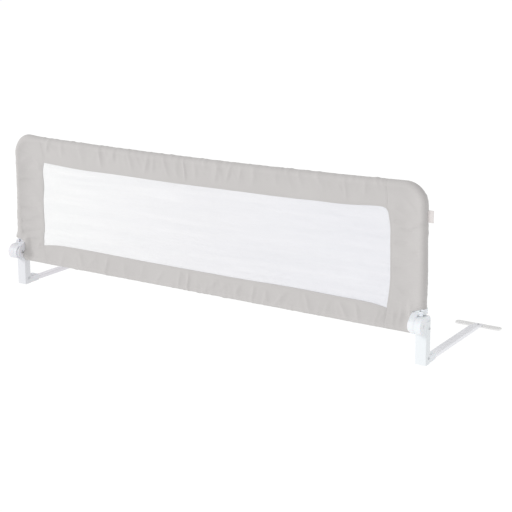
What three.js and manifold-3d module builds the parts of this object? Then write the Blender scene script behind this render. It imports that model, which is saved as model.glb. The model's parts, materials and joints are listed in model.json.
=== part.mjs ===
// A folding bed guard rail: a cloth cover on a tube frame that swings down on two hinged posts,
// whose leg bars lie under the mattress. Millimetres, +Z up, X along the rail, -Y towards the room
// and +Y under the mattress. The origin is the middle of the overall box, at the bed base's level.

import * as THREE from "three";
import { mergeVertices } from "three/addons/utils/BufferGeometryUtils.js";
import Module from "manifold-3d";

const wasm = await Module();
wasm.setup();

// Cover
const coverLength = 1500;
const coverHeight = 428;
const coverRaise = 84;
const cornerRadius = 65;
const sideStripWidth = 120;
const topBandHeight = 85;
const bottomBandHeight = 67;
const topSag = 8;
const windowTopSag = 10;
const windowSideBow = 9;
const windowCornerDroop = 8;
const windowCornerReach = 80;
const clothLayer = 1.2;
const netThickness = 1.2;
const netBillow = 1.5;
const foldDepth = 1.5;
const foldPitch = 118;
const gatherDepth = 0.6;
const gatherPitch = 61;

// Label loop on the right edge
const labelReach = 17;
const labelHeight = 34;
const labelDrop = 75;
const labelCloth = 0.8;
const labelFold = 0.7;

// Frame tubes
const tubeDiameter = 25;
const tubeWall = 1.2;
const jointSetback = 125;
const sleeveLength = 80;
const sleeveWall = 1.2;

// Clearances
const clearance = 0.3;
const runningGap = 1.5;
const overrun = 1;
const weldDistance = 0.0005;

// Post
const postWidth = 35;
const postDepth = 18;
const postRise = 7;
const postWall = 1.5;
const postCorner = 3;
const postOverhang = 8;
const postSetForward = 2;

// Hinge
const pivotForward = 27;
const pivotHeight = 118;
const barrelRadius = 24;
const knuckleWidth = 13;
const lobeInset = 1;
const lobeWebDrop = 14;
const pinRadius = 3;
const pinHeadRadius = 4.4;
const pinHeadThickness = 2;
const pinHeadProud = 0.6;
const pinTipRadius = 2.3;
const nutRadius = 4.8;
const nutThickness = 3.2;
const spigotLength = 50;

// Corner connector
const linkThickness = 6.7;
const hubRadius = 20;
const linkFootRadius = 11.7;
const blockDepth = 26;
const blockHeight = 16.2;
const blockCorner = 5;
const neckSetback = 1;
const neckDrop = 10;
const plugLength = 44;
const bottomPlugLength = 36;
const bevelDrop = 17;
const bevelDepth = 22;

// Lock
const lockTravel = 4.5;
const plungerRadius = 4;
const plungerSetForward = 2.5;
const plungerInset = 21;
const plungerLength = 13;
const guideRadius = 2;
const guideLength = 6;
const padWidth = 19;
const padInset = 11.5;
const padHeight = 10.6;
const padThickness = 2.6;
const padRib = 1.1;
const padRibWidth = 1.8;
const padRibPitch = 6.2;
const padCorner = 2.4;
const stemWidth = 6;
const stemInset = 18;
const stemHeight = 5;
const stemRaise = 2.5;
const lockHoleDepth = 8;
const springWire = 0.9;
const springRadius = 3.2;
const springLength = 20;
const springTurns = 5;

// Leg bracket, leg bar and foot bar
const legWidth = 25;
const legHeight = 12;
const legWall = 1.2;
const legCorner = 2.2;
const legReach = 396;
const legSeat = 6;
const pressedHeight = 2.7;
const pressedWidth = 29;
const pressedTaper = 20;
const socketLength = 44.5;
const socketWidth = 30;
const socketWall = 4;
const socketChamfer = 5.5;
const socketTopChamfer = 3;
const bracketSpigot = 45;
const footLength = 147;
const footWidth = 21;
const footThickness = 4;
const footHoleRadius = 3;
const footHoleInset = 10;
const legEndSetback = 5;

// Screws, the bolt and its nut
const screwRadius = 2;
const screwHeadRadius = 3.6;
const screwHeadThickness = 2;
const screwHeadRimShare = 0.45;
const legScrewLength = 8;
const housingScrewLength = 24;
const boltNutRadius = 4.4;
const boltNutThickness = 3;
const bracketBoltRaise = 17;
const housingScrewDrop = 22;

// Sides of round pieces, and steps along the long ones
const barrelSides = 36;
const pinSides = 18;
const tubeSides = 12;
const holeSides = 12;
const screwSides = 10;
const bendSteps = 7;
const topTubeSteps = 6;
const bandSteps = 32;
const webSteps = 2;
const stripSteps = 18;
const netSteps = 8;
const springSteps = 8;
const springSides = 5;

// Places worked out from the sizes above
const channelRadius = tubeDiameter / 2 + clearance + clothLayer;
const webThickness = 2 * clothLayer + clearance;
const boreRadius = tubeDiameter / 2 + clearance;
const tubeInnerRadius = tubeDiameter / 2 - tubeWall;
const plugRadius = tubeInnerRadius - clearance;
const halfCover = coverLength / 2;
const sideX = halfCover - channelRadius;
const topZ = coverRaise + coverHeight - channelRadius;
const bottomZ = coverRaise + channelRadius;
const bendRadius = cornerRadius - channelRadius;
const bendX = sideX - bendRadius;
const jointX = bendX - jointSetback;
const seamX = halfCover - sideStripWidth;
const windowTopZ = coverRaise + coverHeight - topBandHeight;
const windowBottomZ = coverRaise + bottomBandHeight;
const windowCornerZ = windowBottomZ - windowCornerDroop;

const postOuterX = halfCover + postOverhang;
const postInnerX = postOuterX - postWidth;
const postX = postOuterX - postWidth / 2;
const postFrontY = -postSetForward;
const postBackY = postFrontY + postDepth;
const postY = postFrontY + postDepth / 2;
const postHeight = pivotHeight + postRise;
const earTopZ = postHeight + postDepth;

const pivotY = -pivotForward;
const knuckleOuterX = postInnerX + knuckleWidth - clearance / 2;
const lobeInnerX = postInnerX + knuckleWidth + clearance / 2;
const lobeOuterX = postOuterX - lobeInset;
const linkInnerX = postInnerX - linkThickness;
const coverEndX = linkInnerX - clearance;
const blockBottomZ = earTopZ + runningGap;
const blockTopZ = blockBottomZ + blockHeight;
const cutoutZ = blockTopZ + clearance;
const blockFrontY = -blockDepth / 2;
const plungerX = postOuterX - plungerInset;
const stemX = postOuterX - stemInset;
const padX = postOuterX - padInset;
const plungerY = postY - plungerSetForward;

const socketBackY = postBackY + socketLength;
const socketHeight = legHeight + 2 * socketWall + 2 * clearance;
const legBottomZ = footThickness + clearance;
const legStartY = postBackY + legSeat;
const footY = postBackY + legReach - footWidth;
const footBackY = footY + footWidth / 2;
const legEndY = footBackY - legEndSetback;

// Closed solids from geometry, and geometry from solids

function solidOf(geometry) {
  const bare = geometry.index ? geometry.toNonIndexed() : geometry.clone();
  bare.deleteAttribute("normal");
  bare.deleteAttribute("uv");
  const merged = mergeVertices(bare, weldDistance);
  const triVerts = new Uint32Array(merged.index.array);
  const vertProperties = new Float32Array(merged.attributes.position.array);
  const made = new wasm.Manifold(new wasm.Mesh({ numProp: 3, vertProperties, triVerts }));
  if (made.volume() > 0) return made;
  for (let i = 0; i < triVerts.length; i += 3) {
    [triVerts[i + 1], triVerts[i + 2]] = [triVerts[i + 2], triVerts[i + 1]];
  }
  return new wasm.Manifold(new wasm.Mesh({ numProp: 3, vertProperties, triVerts }));
}

function geometryOf(solid) {
  const mesh = solid.getMesh();
  const geometry = new THREE.BufferGeometry();
  geometry.setAttribute("position", new THREE.BufferAttribute(mesh.vertProperties, 3));
  geometry.setIndex(new THREE.BufferAttribute(mesh.triVerts, 1));
  const faceted = geometry.toNonIndexed();
  faceted.computeVertexNormals();
  return faceted;
}

const join = (first, ...others) => others.reduce((made, next) => made.add(next), first);
const cut = (first, ...tools) => tools.reduce((made, tool) => made.subtract(tool), first);

// A box between two limits on each axis
function block([x0, x1], [y0, y1], [z0, z1]) {
  const box = new THREE.BoxGeometry(x1 - x0, y1 - y0, z1 - z0);
  return solidOf(box.translate((x0 + x1) / 2, (y0 + y1) / 2, (z0 + z1) / 2));
}

// A round bar along X or Z
function rodX([x0, x1], y, z, radius, sides = holeSides) {
  const rod = new THREE.CylinderGeometry(radius, radius, x1 - x0, sides).rotateZ(Math.PI / 2);
  return solidOf(rod.translate((x0 + x1) / 2, y, z));
}

function rodZ(x, y, [z0, z1], radius, sides = holeSides) {
  const rod = new THREE.CylinderGeometry(radius, radius, z1 - z0, sides).rotateX(Math.PI / 2);
  return solidOf(rod.translate(x, y, (z0 + z1) / 2));
}

// An outline drawn in the plane across an axis, carried along that axis
const facing = {
  x: new THREE.Matrix4().makeBasis(
    new THREE.Vector3(0, 1, 0), new THREE.Vector3(0, 0, 1), new THREE.Vector3(1, 0, 0)),
  y: new THREE.Matrix4().makeBasis(
    new THREE.Vector3(-1, 0, 0), new THREE.Vector3(0, 0, 1), new THREE.Vector3(0, 1, 0)),
  z: new THREE.Matrix4(),
};

function prism(axis, outline, [from, to], curveSegments = 1) {
  const options = { depth: to - from, bevelEnabled: false, curveSegments };
  const geometry = new THREE.ExtrudeGeometry(outline, options).translate(0, 0, from);
  return solidOf(geometry.applyMatrix4(facing[axis]));
}

function polygon(points) {
  return new THREE.Shape(points.map(([a, b]) => new THREE.Vector2(a, b)));
}

function roundedRectangle(width, height, radius, a = 0, b = 0) {
  const outline = new THREE.Shape();
  const quarter = Math.PI / 2;
  const halfA = width / 2 - radius;
  const halfB = height / 2 - radius;
  outline.absarc(a + halfA, b + halfB, radius, 0, quarter, false);
  outline.absarc(a - halfA, b + halfB, radius, quarter, 2 * quarter, false);
  outline.absarc(a - halfA, b - halfB, radius, 2 * quarter, 3 * quarter, false);
  outline.absarc(a + halfA, b - halfB, radius, 3 * quarter, 4 * quarter, false);
  return outline;
}

// The tight outline round two circles
function strapOutline(a0, b0, radius0, a1, b1, radius1) {
  const lean = Math.atan2(b1 - b0, a1 - a0);
  const open = Math.acos((radius0 - radius1) / Math.hypot(a1 - a0, b1 - b0));
  const outline = new THREE.Shape();
  outline.absarc(a0, b0, radius0, lean + open, lean - open + 2 * Math.PI, false);
  outline.absarc(a1, b1, radius1, lean - open, lean + open, false);
  return outline;
}

// A closed skin through rings of as many points each, with a fan over each end
function loft(rings) {
  const count = rings[0].length;
  const last = (rings.length - 1) * count;
  const points = rings.flat();
  const middle = (ring) => ring.reduce((sum, p) => sum.add(p), new THREE.Vector3()).divideScalar(count);
  const startMiddle = points.push(middle(rings[0])) - 1;
  const endMiddle = points.push(middle(rings.at(-1))) - 1;
  const index = [];
  for (let i = 0; i < count; i++) {
    const next = (i + 1) % count;
    for (let ring = 0; ring < last; ring += count) {
      index.push(ring + i, ring + next, ring + next + count);
      index.push(ring + i, ring + next + count, ring + i + count);
    }
    index.push(startMiddle, next, i);
    index.push(endMiddle, last + i, last + next);
  }
  return solidOf(new THREE.BufferGeometry().setFromPoints(points).setIndex(index));
}

// A sheet of even thickness whose middle surface is a function of two shares, from 0 to 1
function sheet(surface, across, up, thickness) {
  const points = [];
  for (const face of [-1, 1]) {
    for (let j = 0; j <= up; j++) {
      for (let i = 0; i <= across; i++) {
        const point = surface(i / across, j / up);
        point.y += (face * thickness) / 2;
        points.push(point);
      }
    }
  }
  const row = across + 1;
  const back = row * (up + 1);
  const index = [];
  const quad = (a, b, c, d) => index.push(a, b, c, a, c, d);
  for (let j = 0; j < up; j++) {
    for (let i = 0; i < across; i++) {
      const a = j * row + i;
      quad(a, a + 1, a + 1 + row, a + row);
      quad(back + a, back + a + row, back + a + 1 + row, back + a + 1);
    }
  }
  for (let i = 0; i < across; i++) {
    const top = up * row + i;
    quad(i, back + i, back + i + 1, i + 1);
    quad(top, top + 1, back + top + 1, back + top);
  }
  for (let j = 0; j < up; j++) {
    const left = j * row;
    const right = left + across;
    quad(left, left + row, back + left + row, back + left);
    quad(right, back + right, back + right + row, right + row);
  }
  return solidOf(new THREE.BufferGeometry().setFromPoints(points).setIndex(index));
}

// The frame's centre line, as points in the rail's own plane

const topLineZ = (x) => topZ - topSag * Math.max(0, 1 - (x / bendX) ** 2);

function straight([x0, z0], [x1, z1], steps) {
  return Array.from({ length: steps + 1 }, (_, i) => {
    const share = i / steps;
    return [x0 + (x1 - x0) * share, z0 + (z1 - z0) * share];
  });
}

function topLine(x0, x1, steps) {
  return straight([x0, 0], [x1, 0], steps).map(([x]) => [x, topLineZ(x)]);
}

function cornerLine(fromZ, toX, uprightSteps, topSteps) {
  const upright = straight([sideX, fromZ], [sideX, topZ - bendRadius], uprightSteps);
  const bend = Array.from({ length: bendSteps - 1 }, (_, i) => {
    const angle = ((i + 1) / bendSteps) * (Math.PI / 2);
    return [bendX + bendRadius * Math.cos(angle), topZ - bendRadius + bendRadius * Math.sin(angle)];
  });
  return [...upright, ...bend, ...topLine(bendX, toX, topSteps)];
}

// A round section carried along such a line; the radius may change with the place
function tubeAlong(line, radius, sides) {
  let travelled = 0;
  const rings = line.map(([x, z], i) => {
    const [x0, z0] = line[Math.max(i - 1, 0)];
    const [x1, z1] = line[Math.min(i + 1, line.length - 1)];
    const length = Math.hypot(x1 - x0, z1 - z0);
    const across = new THREE.Vector3(-(z1 - z0) / length, 0, (x1 - x0) / length);
    travelled += Math.hypot(x - x0, z - z0);
    return Array.from({ length: sides }, (_, k) => {
      const angle = (k / sides) * 2 * Math.PI;
      const reach = typeof radius === "function" ? radius(travelled, angle) : radius;
      return new THREE.Vector3(x, 0, z)
        .addScaledVector(across, reach * Math.cos(angle))
        .add(new THREE.Vector3(0, reach * Math.sin(angle), 0));
    });
  });
  return loft(rings);
}

function hollowTube(line, outerRadius, innerRadius, sides) {
  return cut(tubeAlong(line, outerRadius, sides), tubeAlong(stretched(line), innerRadius, sides));
}

// The same line, run on past both ends
function stretched(line) {
  const past = ([x0, z0], [x1, z1]) => {
    const length = Math.hypot(x1 - x0, z1 - z0);
    return [x1 + ((x1 - x0) / length) * overrun, z1 + ((z1 - z0) / length) * overrun];
  };
  return [past(line[1], line[0]), ...line.slice(1, -1), past(line.at(-2), line.at(-1))];
}

// Frame tubes and the sleeves that join them

function cornerTube() {
  const line = cornerLine(cutoutZ, jointX + clearance / 2, 1, 2);
  return hollowTube(line, tubeDiameter / 2, tubeInnerRadius, tubeSides);
}

function topTube() {
  return hollowTube(topLine(clearance / 2 - jointX, jointX - clearance / 2, topTubeSteps),
    tubeDiameter / 2, tubeInnerRadius, tubeSides);
}

function topSleeve() {
  const line = topLine(jointX - sleeveLength / 2, jointX + sleeveLength / 2, 1);
  return hollowTube(line, tubeInnerRadius - clearance, tubeInnerRadius - clearance - sleeveWall, tubeSides);
}

function bottomTube() {
  const line = straight([clearance / 2, bottomZ], [coverEndX, bottomZ], 1);
  return hollowTube(line, tubeDiameter / 2, tubeInnerRadius, tubeSides);
}

function bottomSleeve() {
  const line = straight([-sleeveLength / 2, bottomZ], [sleeveLength / 2, bottomZ], 1);
  return hollowTube(line, tubeInnerRadius - clearance, tubeInnerRadius - clearance - sleeveWall, tubeSides);
}

// Cover: each band is a channel round the tubes with a doubled web from the channel to the seam

// Gathers draw the channel in by a little, more on the crown than where the web leaves it
const gather = (phase) => (travelled, angle) => {
  const wave = Math.sin((travelled / gatherPitch) * 2 * Math.PI + phase);
  const crown = 0.5 + 0.5 * Math.cos(angle);
  return channelRadius - gatherDepth * (0.5 + 0.5 * wave) * crown;
};

// Soft folds across the web, deepest beside the channel and flat at the seam
const fold = (along, fromSeam, phase) =>
  foldDepth * Math.sin((along / foldPitch) * 2 * Math.PI + phase) * Math.sin((fromSeam * Math.PI) / 2);

const windowTopLine = (x) => windowTopZ - windowTopSag * (1 - (x / seamX) ** 2);

// The window's bottom edge is level between its corners, which droop
function windowBottomLine(x) {
  const share = Math.max(0, 1 - (seamX - Math.abs(x)) / windowCornerReach);
  return windowBottomZ - windowCornerDroop * share ** 2;
}

function windowSideLine(z) {
  const halfWindow = (windowTopZ - windowCornerZ) / 2;
  const share = (z - windowCornerZ - halfWindow) / halfWindow;
  return seamX + windowSideBow * Math.max(0, 1 - share ** 2);
}

function topBand() {
  const end = seamX - clearance / 2;
  const channel = tubeAlong(topLine(end, -end, bandSteps), gather(0), tubeSides);
  const web = sheet((u, v) => {
    const x = end * (2 * u - 1);
    const seam = windowTopLine(x) + clearance / 2;
    return new THREE.Vector3(x, fold(x, v, 0), seam + (topLineZ(x) - seam) * v);
  }, bandSteps, webSteps, webThickness);
  const bore = tubeAlong(stretched(topLine(end, -end, topTubeSteps)), boreRadius, tubeSides);
  return cut(join(channel, web), bore);
}

function bottomBand() {
  const end = seamX - clearance / 2;
  const channel = tubeAlong(straight([-end, bottomZ], [end, bottomZ], bandSteps), gather(1), tubeSides);
  const web = sheet((u, v) => {
    const x = end * (2 * u - 1);
    const seam = windowBottomLine(x) - clearance / 2;
    return new THREE.Vector3(x, fold(x, 1 - v, 2), bottomZ + (seam - bottomZ) * v);
  }, bandSteps, webSteps, webThickness);
  const bore = rodX([-end - overrun, end + overrun], 0, bottomZ, boreRadius, tubeSides);
  return cut(join(channel, web), bore);
}

// The side strip runs the full height, round the top corner and along to the bands' seams
function sideBand() {
  const end = seamX + clearance / 2;
  const channel = tubeAlong(cornerLine(cutoutZ, end, 10, 2), gather(2), tubeSides);
  const lowerLine = straight([coverEndX, bottomZ], [end, bottomZ], 3);
  const lower = tubeAlong(lowerLine, gather(0), tubeSides);
  const web = sheet((u, v) => {
    const z = bottomZ + (topLineZ(seamX) - bottomZ) * v;
    const inner = windowSideLine(z) + clearance / 2;
    const rise = Math.max(0, z - (topZ - bendRadius));
    const bend = sideX - bendRadius + Math.sqrt(bendRadius ** 2 - Math.min(rise, bendRadius) ** 2);
    const outer = Math.min(sideX, bend);
    return new THREE.Vector3(inner + (outer - inner) * u, fold(z, u, 1), z);
  }, webSteps, stripSteps, webThickness);
  const cutout = block([coverEndX, halfCover], [-channelRadius, channelRadius], [coverRaise, cutoutZ]);
  const bore = tubeAlong(stretched(cornerLine(cutoutZ, end, 1, 2)), boreRadius, tubeSides);
  const lowerBore = tubeAlong(stretched(lowerLine), boreRadius, tubeSides);
  return cut(join(channel, lower, cut(web, cutout)), bore, lowerBore);
}

function windowNet() {
  return sheet((u, v) => {
    const half = windowSideLine(windowCornerZ + (windowTopZ - windowCornerZ) * v) - clearance / 2;
    const x = half * (2 * u - 1);
    const inside = Math.min(Math.abs(x), seamX);
    const top = windowTopLine(inside) - clearance / 2;
    const bottom = windowBottomLine(inside) + clearance / 2;
    const billow = netBillow * Math.sin(u * Math.PI) * Math.sin(v * Math.PI);
    return new THREE.Vector3(x, billow, bottom + (top - bottom) * v);
  }, bandSteps, netSteps, netThickness);
}

// A loop of tape, its fold outwards
function labelLoop() {
  const z0 = coverRaise + coverHeight - labelDrop - labelHeight;
  const outline = roundedRectangle(labelReach + labelCloth, 2 * labelCloth, labelFold);
  const tape = prism("z", outline, [z0, z0 + labelHeight]);
  return tape.translate([halfCover + clearance + (labelReach + labelCloth) / 2, 0, 0]);
}

// Post and hinge housing

function post() {
  const section = roundedRectangle(postWidth, postDepth, postCorner, postX, postY);
  const hollow = roundedRectangle(
    postWidth - 2 * postWall, postDepth - 2 * postWall, postCorner - postWall, postX, postY);
  const tube = cut(prism("z", section, [0, postHeight]),
    prism("z", hollow, [-overrun, postHeight + overrun]));
  const notch = block([postX - socketWidth / 2 - clearance, postX + socketWidth / 2 + clearance],
    [postY, postBackY + overrun], [-overrun, socketHeight + clearance]);
  const boltHole = rodX([postInnerX - overrun, postOuterX + overrun],
    postY, bracketBoltRaise, screwRadius + clearance);
  const screwHole = rodX([postX, postOuterX + overrun],
    postY, postHeight - housingScrewDrop, screwRadius + clearance);
  return cut(tube, notch, boltHole, screwHole);
}

// What fits inside the post
function spigot([z0, z1]) {
  const inset = 2 * (postWall + clearance);
  const section = roundedRectangle(postWidth - inset, postDepth - inset, postCorner - postWall, postX, postY);
  return prism("z", section, [z0, z1]);
}

// The ear over the post is flat in front, with one large round down to the post's back
function earRound() {
  const start = Math.asin(clearance / postDepth);
  return Array.from({ length: bendSteps + 1 }, (_, i) => {
    const angle = start + (Math.PI / 2 - start) * (i / bendSteps);
    return [postFrontY + postDepth * Math.cos(angle), postHeight + postDepth * Math.sin(angle)];
  });
}

function hingeHousing() {
  const lobe = rodX([lobeInnerX, lobeOuterX], pivotY, pivotHeight, barrelRadius, barrelSides);
  const web = prism("x", polygon([
    [pivotY, pivotHeight - lobeWebDrop],
    [postFrontY - clearance, pivotHeight - lobeWebDrop],
    [postFrontY - clearance, postHeight + clearance],
    ...earRound(),
    [pivotY, pivotHeight + barrelRadius],
  ]), [lobeInnerX, lobeOuterX]);
  const ear = prism("x", polygon([[postFrontY, postHeight + clearance], ...earRound()]),
    [postInnerX, lobeOuterX]);
  const peg = spigot([postHeight - spigotLength, postHeight + 2 * clearance]);
  const pinBore = rodX([lobeInnerX - overrun, lobeOuterX + overrun], pivotY, pivotHeight,
    pinRadius + clearance, pinSides);
  const headSeat = rodX([lobeOuterX - pinHeadThickness, lobeOuterX + overrun], pivotY, pivotHeight,
    pinHeadRadius + clearance, pinSides);
  const lockHole = rodZ(plungerX, plungerY, [earTopZ - lockHoleDepth, earTopZ + overrun],
    plungerRadius + clearance);
  const screwHole = rodX([postOuterX - housingScrewLength, postOuterX], postY, postHeight - housingScrewDrop,
    screwRadius + clearance);
  return cut(join(lobe, web, ear, peg), pinBore, headSeat, lockHole, screwHole);
}

// Lathe turnings, drawn along +Z from their head's underside and then laid along an axis

function turned(profile, sides) {
  const points = profile.map(([r, z]) => new THREE.Vector2(r, z));
  return new THREE.LatheGeometry(points, sides).rotateX(Math.PI / 2);
}

function screw(length) {
  const rim = screwHeadThickness * screwHeadRimShare;
  const profile = [[0, -length], [screwRadius, -length], [screwRadius, 0], [screwHeadRadius, 0],
    [screwHeadRadius, rim], [screwHeadRadius - rim, screwHeadThickness], [0, screwHeadThickness]];
  return turned(profile, screwSides);
}

function pivotPin() {
  const headX = lobeOuterX - pinHeadThickness + clearance;
  const shank = headX - linkInnerX - nutThickness - 2 * clearance;
  const headTop = pinHeadThickness + pinHeadProud;
  const rim = headTop * screwHeadRimShare;
  const profile = [[0, clearance - shank - nutThickness], [pinTipRadius, clearance - shank - nutThickness],
    [pinTipRadius, -shank], [pinRadius, -shank], [pinRadius, 0], [pinHeadRadius, 0],
    [pinHeadRadius, headTop - rim], [pinHeadRadius - rim, headTop], [0, headTop]];
  return solidOf(turned(profile, pinSides).rotateY(Math.PI / 2).translate(headX, pivotY, pivotHeight));
}

function hexNut(x0, thickness, radius, holeRadius, y, z) {
  const span = [x0, x0 + thickness];
  return cut(rodX(span, y, z, radius, 6), rodX([x0 - overrun, x0 + thickness + overrun], y, z, holeRadius));
}

const pivotNut = () => hexNut(linkInnerX + clearance, nutThickness - clearance, nutRadius,
  pinTipRadius + clearance, pivotY, pivotHeight);

// Corner connector: knuckle, neck and block by the post, link to the bottom tube, two tube plugs

// The neck's front runs from its top corner down to the barrel's tangent, or to the barrel's top
// where that corner lies inside the barrel
function neckOutline() {
  const front = blockFrontY;
  const top = blockTopZ - neckDrop;
  const reach = Math.hypot(front - pivotY, top - pivotHeight);
  const open = Math.acos(Math.min(1, barrelRadius / reach));
  const tangent = Math.max(Math.PI / 2, Math.atan2(top - pivotHeight, front - pivotY) + open);
  const neckBackY = postFrontY - neckSetback;
  return polygon([
    [neckBackY, pivotHeight],
    [neckBackY, blockBottomZ],
    [-blockFrontY, blockBottomZ],
    [-blockFrontY, top],
    [front, top],
    [pivotY + barrelRadius * Math.cos(tangent), pivotHeight + barrelRadius * Math.sin(tangent)],
    [pivotY, pivotHeight],
  ]);
}

function connectorBody() {
  const knuckle = rodX([postInnerX, knuckleOuterX], pivotY, pivotHeight, barrelRadius, barrelSides);
  const hub = rodX([linkInnerX, postInnerX + clearance], pivotY, pivotHeight, hubRadius, pinSides);
  const link = prism("x", strapOutline(pivotY, pivotHeight, hubRadius, 0, bottomZ, linkFootRadius),
    [linkInnerX, postInnerX - clearance], 5);
  const neck = prism("x", neckOutline(), [linkInnerX, knuckleOuterX]);
  const bevel = prism("y", polygon([
    [-linkInnerX + overrun, blockBottomZ],
    [-linkInnerX + overrun, blockBottomZ - bevelDrop],
    [-postInnerX, blockBottomZ - bevelDrop],
  ]), [pivotY - barrelRadius, pivotY - barrelRadius + bevelDepth]);
  const head = prism("z", roundedRectangle(lobeOuterX - linkInnerX, blockDepth, blockCorner,
    (lobeOuterX + linkInnerX) / 2, 0), [blockBottomZ, blockTopZ]);
  const sidePlug = rodZ(sideX, 0, [blockTopZ - overrun, blockTopZ + plugLength], plugRadius, tubeSides);
  const bottomPlug = rodX([linkInnerX - bottomPlugLength, linkInnerX + overrun],
    0, bottomZ, plugRadius, tubeSides);
  return join(cut(join(knuckle, neck), bevel), hub, link, head, sidePlug, bottomPlug);
}

const plungerBottomZ = blockBottomZ + clearance;
const plungerTopZ = plungerBottomZ + plungerLength;
const springBottomZ = plungerTopZ + clearance;
const springTopZ = springBottomZ + springLength;
const stemZ = blockBottomZ + stemRaise;

function cornerConnector() {
  const pinBore = rodX([linkInnerX - overrun, knuckleOuterX + overrun], pivotY, pivotHeight,
    pinRadius + clearance, pinSides);
  const nutSeat = rodX([linkInnerX - overrun, linkInnerX + nutThickness], pivotY, pivotHeight,
    nutRadius + 2 * clearance, pinSides);
  const lockBore = rodZ(plungerX, plungerY, [blockBottomZ - overrun, springTopZ + clearance],
    plungerRadius + clearance);
  const slot = block([stemX - stemWidth / 2 - clearance, stemX + stemWidth / 2 + clearance],
    [blockFrontY - overrun, plungerY], [stemZ - clearance, stemZ + stemHeight + lockTravel + clearance]);
  return cut(connectorBody(), pinBore, nutSeat, lockBore, slot);
}

// Lock slider: ribbed thumb pad, stem through the block's slot, and plunger over the ear's hole
function lockSlider() {
  const plunger = rodZ(plungerX, plungerY, [plungerBottomZ, plungerTopZ], plungerRadius);
  const guide = rodZ(plungerX, plungerY, [plungerTopZ, plungerTopZ + guideLength], guideRadius);
  const padBackY = blockFrontY - clearance;
  const padFrontY = padBackY - padThickness;
  const stem = block([stemX - stemWidth / 2, stemX + stemWidth / 2], [padFrontY, plungerY],
    [stemZ, stemZ + stemHeight]);
  const padZ = blockBottomZ + padHeight / 2 + clearance;
  const padOutline = roundedRectangle(padWidth, padHeight, padCorner, -padX, padZ);
  const pad = prism("y", padOutline, [padFrontY, padBackY]);
  const ribs = [-1, 0, 1].map((place) => {
    const x = padX + place * padRibPitch;
    return block([x - padRibWidth / 2, x + padRibWidth / 2], [padFrontY - padRib, padFrontY + padRib],
      [padZ - padHeight / 2 + padCorner, padZ + padHeight / 2 - padCorner]);
  });
  return join(plunger, guide, stem, pad, ...ribs);
}

// Lock spring: one unbroken helix round the plunger's guide

function springLine() {
  const steps = springTurns * springSteps;
  return Array.from({ length: steps + 1 }, (_, i) => {
    const angle = (i / springSteps) * 2 * Math.PI;
    const rise = springWire / 2 + (springLength - springWire) * (i / steps);
    return new THREE.Vector3(plungerX + springRadius * Math.cos(angle),
      plungerY + springRadius * Math.sin(angle), springBottomZ + rise);
  });
}

function lockSpring() {
  const line = springLine();
  const rings = line.map((point, i) => {
    const angle = (i / springSteps) * 2 * Math.PI;
    const outward = new THREE.Vector3(Math.cos(angle), Math.sin(angle), 0);
    const along = line[Math.min(i + 1, line.length - 1)].clone().sub(line[Math.max(i - 1, 0)]).normalize();
    const beside = new THREE.Vector3().crossVectors(along, outward).normalize();
    return Array.from({ length: springSides }, (_, k) => {
      const turn = (k / springSides) * 2 * Math.PI;
      return point.clone()
        .addScaledVector(outward, (springWire / 2) * Math.cos(turn))
        .addScaledVector(beside, (springWire / 2) * Math.sin(turn));
    });
  });
  return loft(rings);
}

// The least gap between two stretches of the spring that are half a turn or more apart
function leastSpringGap() {
  const line = springLine();
  let least = Infinity;
  line.forEach((a, i) => line.slice(i + springSteps / 2).forEach((b) => {
    least = Math.min(least, a.distanceTo(b));
  }));
  return least - springWire;
}

// Leg bracket: an elbow from the post's foot to the socket that holds the leg bar

function legBracket() {
  const peg = spigot([0, bracketSpigot]);
  const outline = polygon([
    [postY, 0],
    [socketBackY - socketChamfer, 0],
    [socketBackY, socketChamfer],
    [socketBackY, socketHeight - socketTopChamfer],
    [socketBackY - socketTopChamfer, socketHeight],
    [postY, socketHeight],
  ]);
  const body = prism("x", outline, [postX - socketWidth / 2, postX + socketWidth / 2]);
  const socket = block([postX - legWidth / 2 - clearance, postX + legWidth / 2 + clearance],
    [legStartY - clearance, socketBackY + overrun], [socketWall, legBottomZ + legHeight + clearance]);
  const boltHole = rodX([postInnerX, postOuterX], postY, bracketBoltRaise, screwRadius + clearance);
  const screwHole = rodZ(postX, legScrewY, [legBottomZ + legHeight, socketHeight],
    screwRadius + clearance);
  const screwSeat = rodZ(postX, legScrewY, [legScrewZ - clearance, socketHeight + overrun],
    screwHeadRadius + clearance);
  return cut(join(peg, body), socket, boltHole, screwHole, screwSeat);
}

const legScrewY = (legStartY + socketBackY) / 2;
const legScrewZ = socketHeight - screwHeadThickness;

// Leg bar: a flat tube whose far end is pressed flat on the foot bar

function legRing(y, width, height, bottomZ0, radius) {
  const outline = roundedRectangle(width, height, radius, postX, bottomZ0 + height / 2);
  return outline.getPoints(2).slice(0, -1).map((p) => new THREE.Vector3(p.x, y, p.y));
}

function legBar() {
  const pressedY = footY - footWidth / 2;
  const outer = loft([
    legRing(legStartY, legWidth, legHeight, legBottomZ, legCorner),
    legRing(pressedY - pressedTaper, legWidth, legHeight, legBottomZ, legCorner),
    legRing(pressedY, pressedWidth, pressedHeight, legBottomZ, pressedHeight / 2 - legWall / 2),
    legRing(legEndY, pressedWidth, pressedHeight, legBottomZ, pressedHeight / 2 - legWall / 2),
  ]);
  const inner = (y) => legRing(y, legWidth - 2 * legWall, legHeight - 2 * legWall,
    legBottomZ + legWall, legCorner - legWall);
  const hollow = loft([inner(legStartY - overrun), inner(pressedY - pressedTaper - legWall)]);
  const legHole = rodZ(postX, legScrewY, [legBottomZ + legHeight / 2, legBottomZ + legHeight + overrun],
    screwRadius + clearance);
  const footHole = rodZ(postX, footY, [0, legBottomZ + legHeight], screwRadius + clearance);
  return cut(outer, hollow, legHole, footHole);
}

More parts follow.
